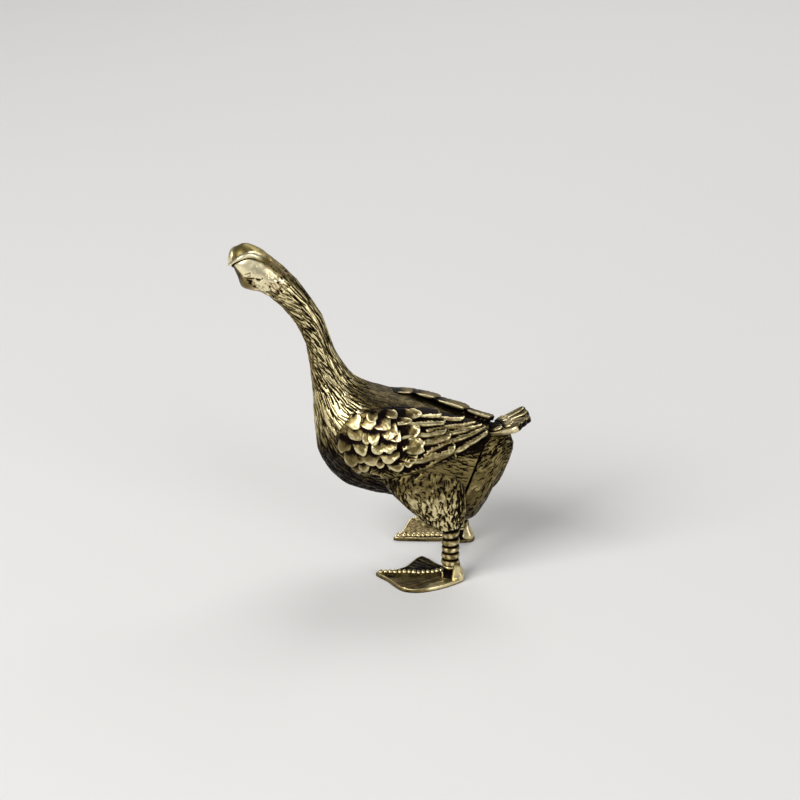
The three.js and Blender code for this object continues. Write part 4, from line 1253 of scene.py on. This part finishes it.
knuckle_inputs = {"Count": "Int", "Radius": "Float", "Seed": "Int", "Brass": "Material"}
knuckle_tree, given = node_tree("toe_knuckles", knuckle_inputs)
toe_curve = add(knuckle_tree, "GeometryNodeMeshToCurve", {"Mesh": given["Geometry"]}).outputs["Curve"]
spaced = add(knuckle_tree, "GeometryNodeResampleCurve", {"Curve": toe_curve, "Count": given["Count"]})
bead = add(knuckle_tree, "GeometryNodeMeshUVSphere", {"Segments": 24, "Rings": 16, "Radius": given["Radius"]})
least_and_most = {0: (0.72, 0.9, 0.85), 1: (0.95, 1.15, 1.1), "Seed": given["Seed"]}
varied = add(knuckle_tree, "FunctionNodeRandomValue", least_and_most, data_type="FLOAT_VECTOR")
placed = {"Points": spaced.outputs["Curve"], "Instance": bead.outputs["Mesh"], "Scale": varied.outputs[0]}
beads = add(knuckle_tree, "GeometryNodeInstanceOnPoints", placed)
finish_tree(knuckle_tree, beads.outputs["Instances"], given["Brass"])

for side, name in SIDES:
    toe = [(x, y, WEB_THICKNESS + 0.18) for x, y in MIDDLE_TOES[side]]
    bones = [(k, k + 1) for k in range(len(toe) - 1)]
    values = {"Count": KNUCKLES[side], "Radius": KNUCKLE_RADII[side], "Seed": 5 + side, "Brass": leg_brass}
    knuckles, knuckle_faces = grow(knuckle_tree, toe, bones, {}, values)
    knuckle_wear = ease(knuckles[:, 2], WEB_THICKNESS + 0.05, WEB_THICKNESS + 0.35)
    skins = [web(side), ankle(side), heel(side), (on_foot(side, knuckles), knuckle_faces, knuckle_wear)]
    skins.append(ankle_ridge(side))
    cast_piece(f"{name}_foot", skins, leg_brass)

# Stage: a plain pale floor that curves up into a backdrop, soft lamps, and the photograph's point of view.
# All of it is measured in metres.
FLOOR_REACH = 0.9
FLOOR_HALF_WIDTH = 1.2
BACKDROP_START = 0.5
BACKDROP_CURVE = 0.25
BACKDROP_HEIGHT = 0.6
# Each lamp's place, size and power
LAMPS = {
    "key": ((-0.38, -0.42, 0.48), (0.45, 0.45), 5.6),
    "fill": ((0.45, -0.40, 0.25), (0.35, 0.35), 1.3),
    "rim": ((0.1, 0.45, 0.50), (0.4, 0.25), 1.6),
}
LAMP_AIM = (0, 0, 0.02)

# Matt pale paper
paper = bpy.data.materials.new("studio_paper")
paper.use_nodes = True
paper_inputs = paper.node_tree.nodes["Principled BSDF"].inputs
paper_inputs["Base Color"].default_value = linear("#D9D8D6")
paper_inputs["Roughness"].default_value = 0.9

turns = np.radians(range(10, 91, 10))
bend = BACKDROP_CURVE * np.stack([np.sin(turns), 1 - np.cos(turns)], -1) + [BACKDROP_START, 0]
top = (BACKDROP_START + BACKDROP_CURVE, BACKDROP_HEIGHT)
sweep = [(-FLOOR_REACH, 0.0), (BACKDROP_START, 0.0), *bend.tolist(), top]
floor_mesh = bpy.data.meshes.new("floor")
floor_points = [(x, y, z) for y, z in sweep for x in (-FLOOR_HALF_WIDTH, FLOOR_HALF_WIDTH)]
floor_faces = [(2 * k, 2 * k + 1, 2 * k + 3, 2 * k + 2) for k in range(len(sweep) - 1)]
floor_mesh.from_pydata(floor_points, [], floor_faces)
floor_mesh.polygons.foreach_set("use_smooth", [True] * len(floor_faces))
floor_mesh.materials.append(paper)
floor = linked("floor", floor_mesh)

for name, (place, size, power) in LAMPS.items():
    lamp = bpy.data.lights.new(name, "AREA")
    lamp.shape = "RECTANGLE"
    lamp.size, lamp.size_y = size
    lamp.energy = power
    made = linked(name, lamp)
    made.location = place
    x, y, z = np.array(place) - np.array(LAMP_AIM)
    made.rotation_euler = (math.atan2(math.hypot(x, y), z), 0, math.atan2(x, -y))

world = bpy.data.worlds.new("studio")
world.use_nodes = True
world_inputs = world.node_tree.nodes["Background"].inputs
world_inputs["Color"].default_value = linear("#707070")
world_inputs["Strength"].default_value = 1.0
bpy.context.scene.world = world

camera_data = bpy.data.cameras.new("camera")
camera_data.lens = 88.2
camera_data.sensor_width = 36
camera = linked("camera", camera_data)
camera.location = (0.037244, -0.245662, 0.134610)
camera.rotation_euler = (math.radians(66), 0, math.radians(8))
bpy.context.scene.camera = camera

bpy.context.scene.view_settings.view_transform = "Standard"
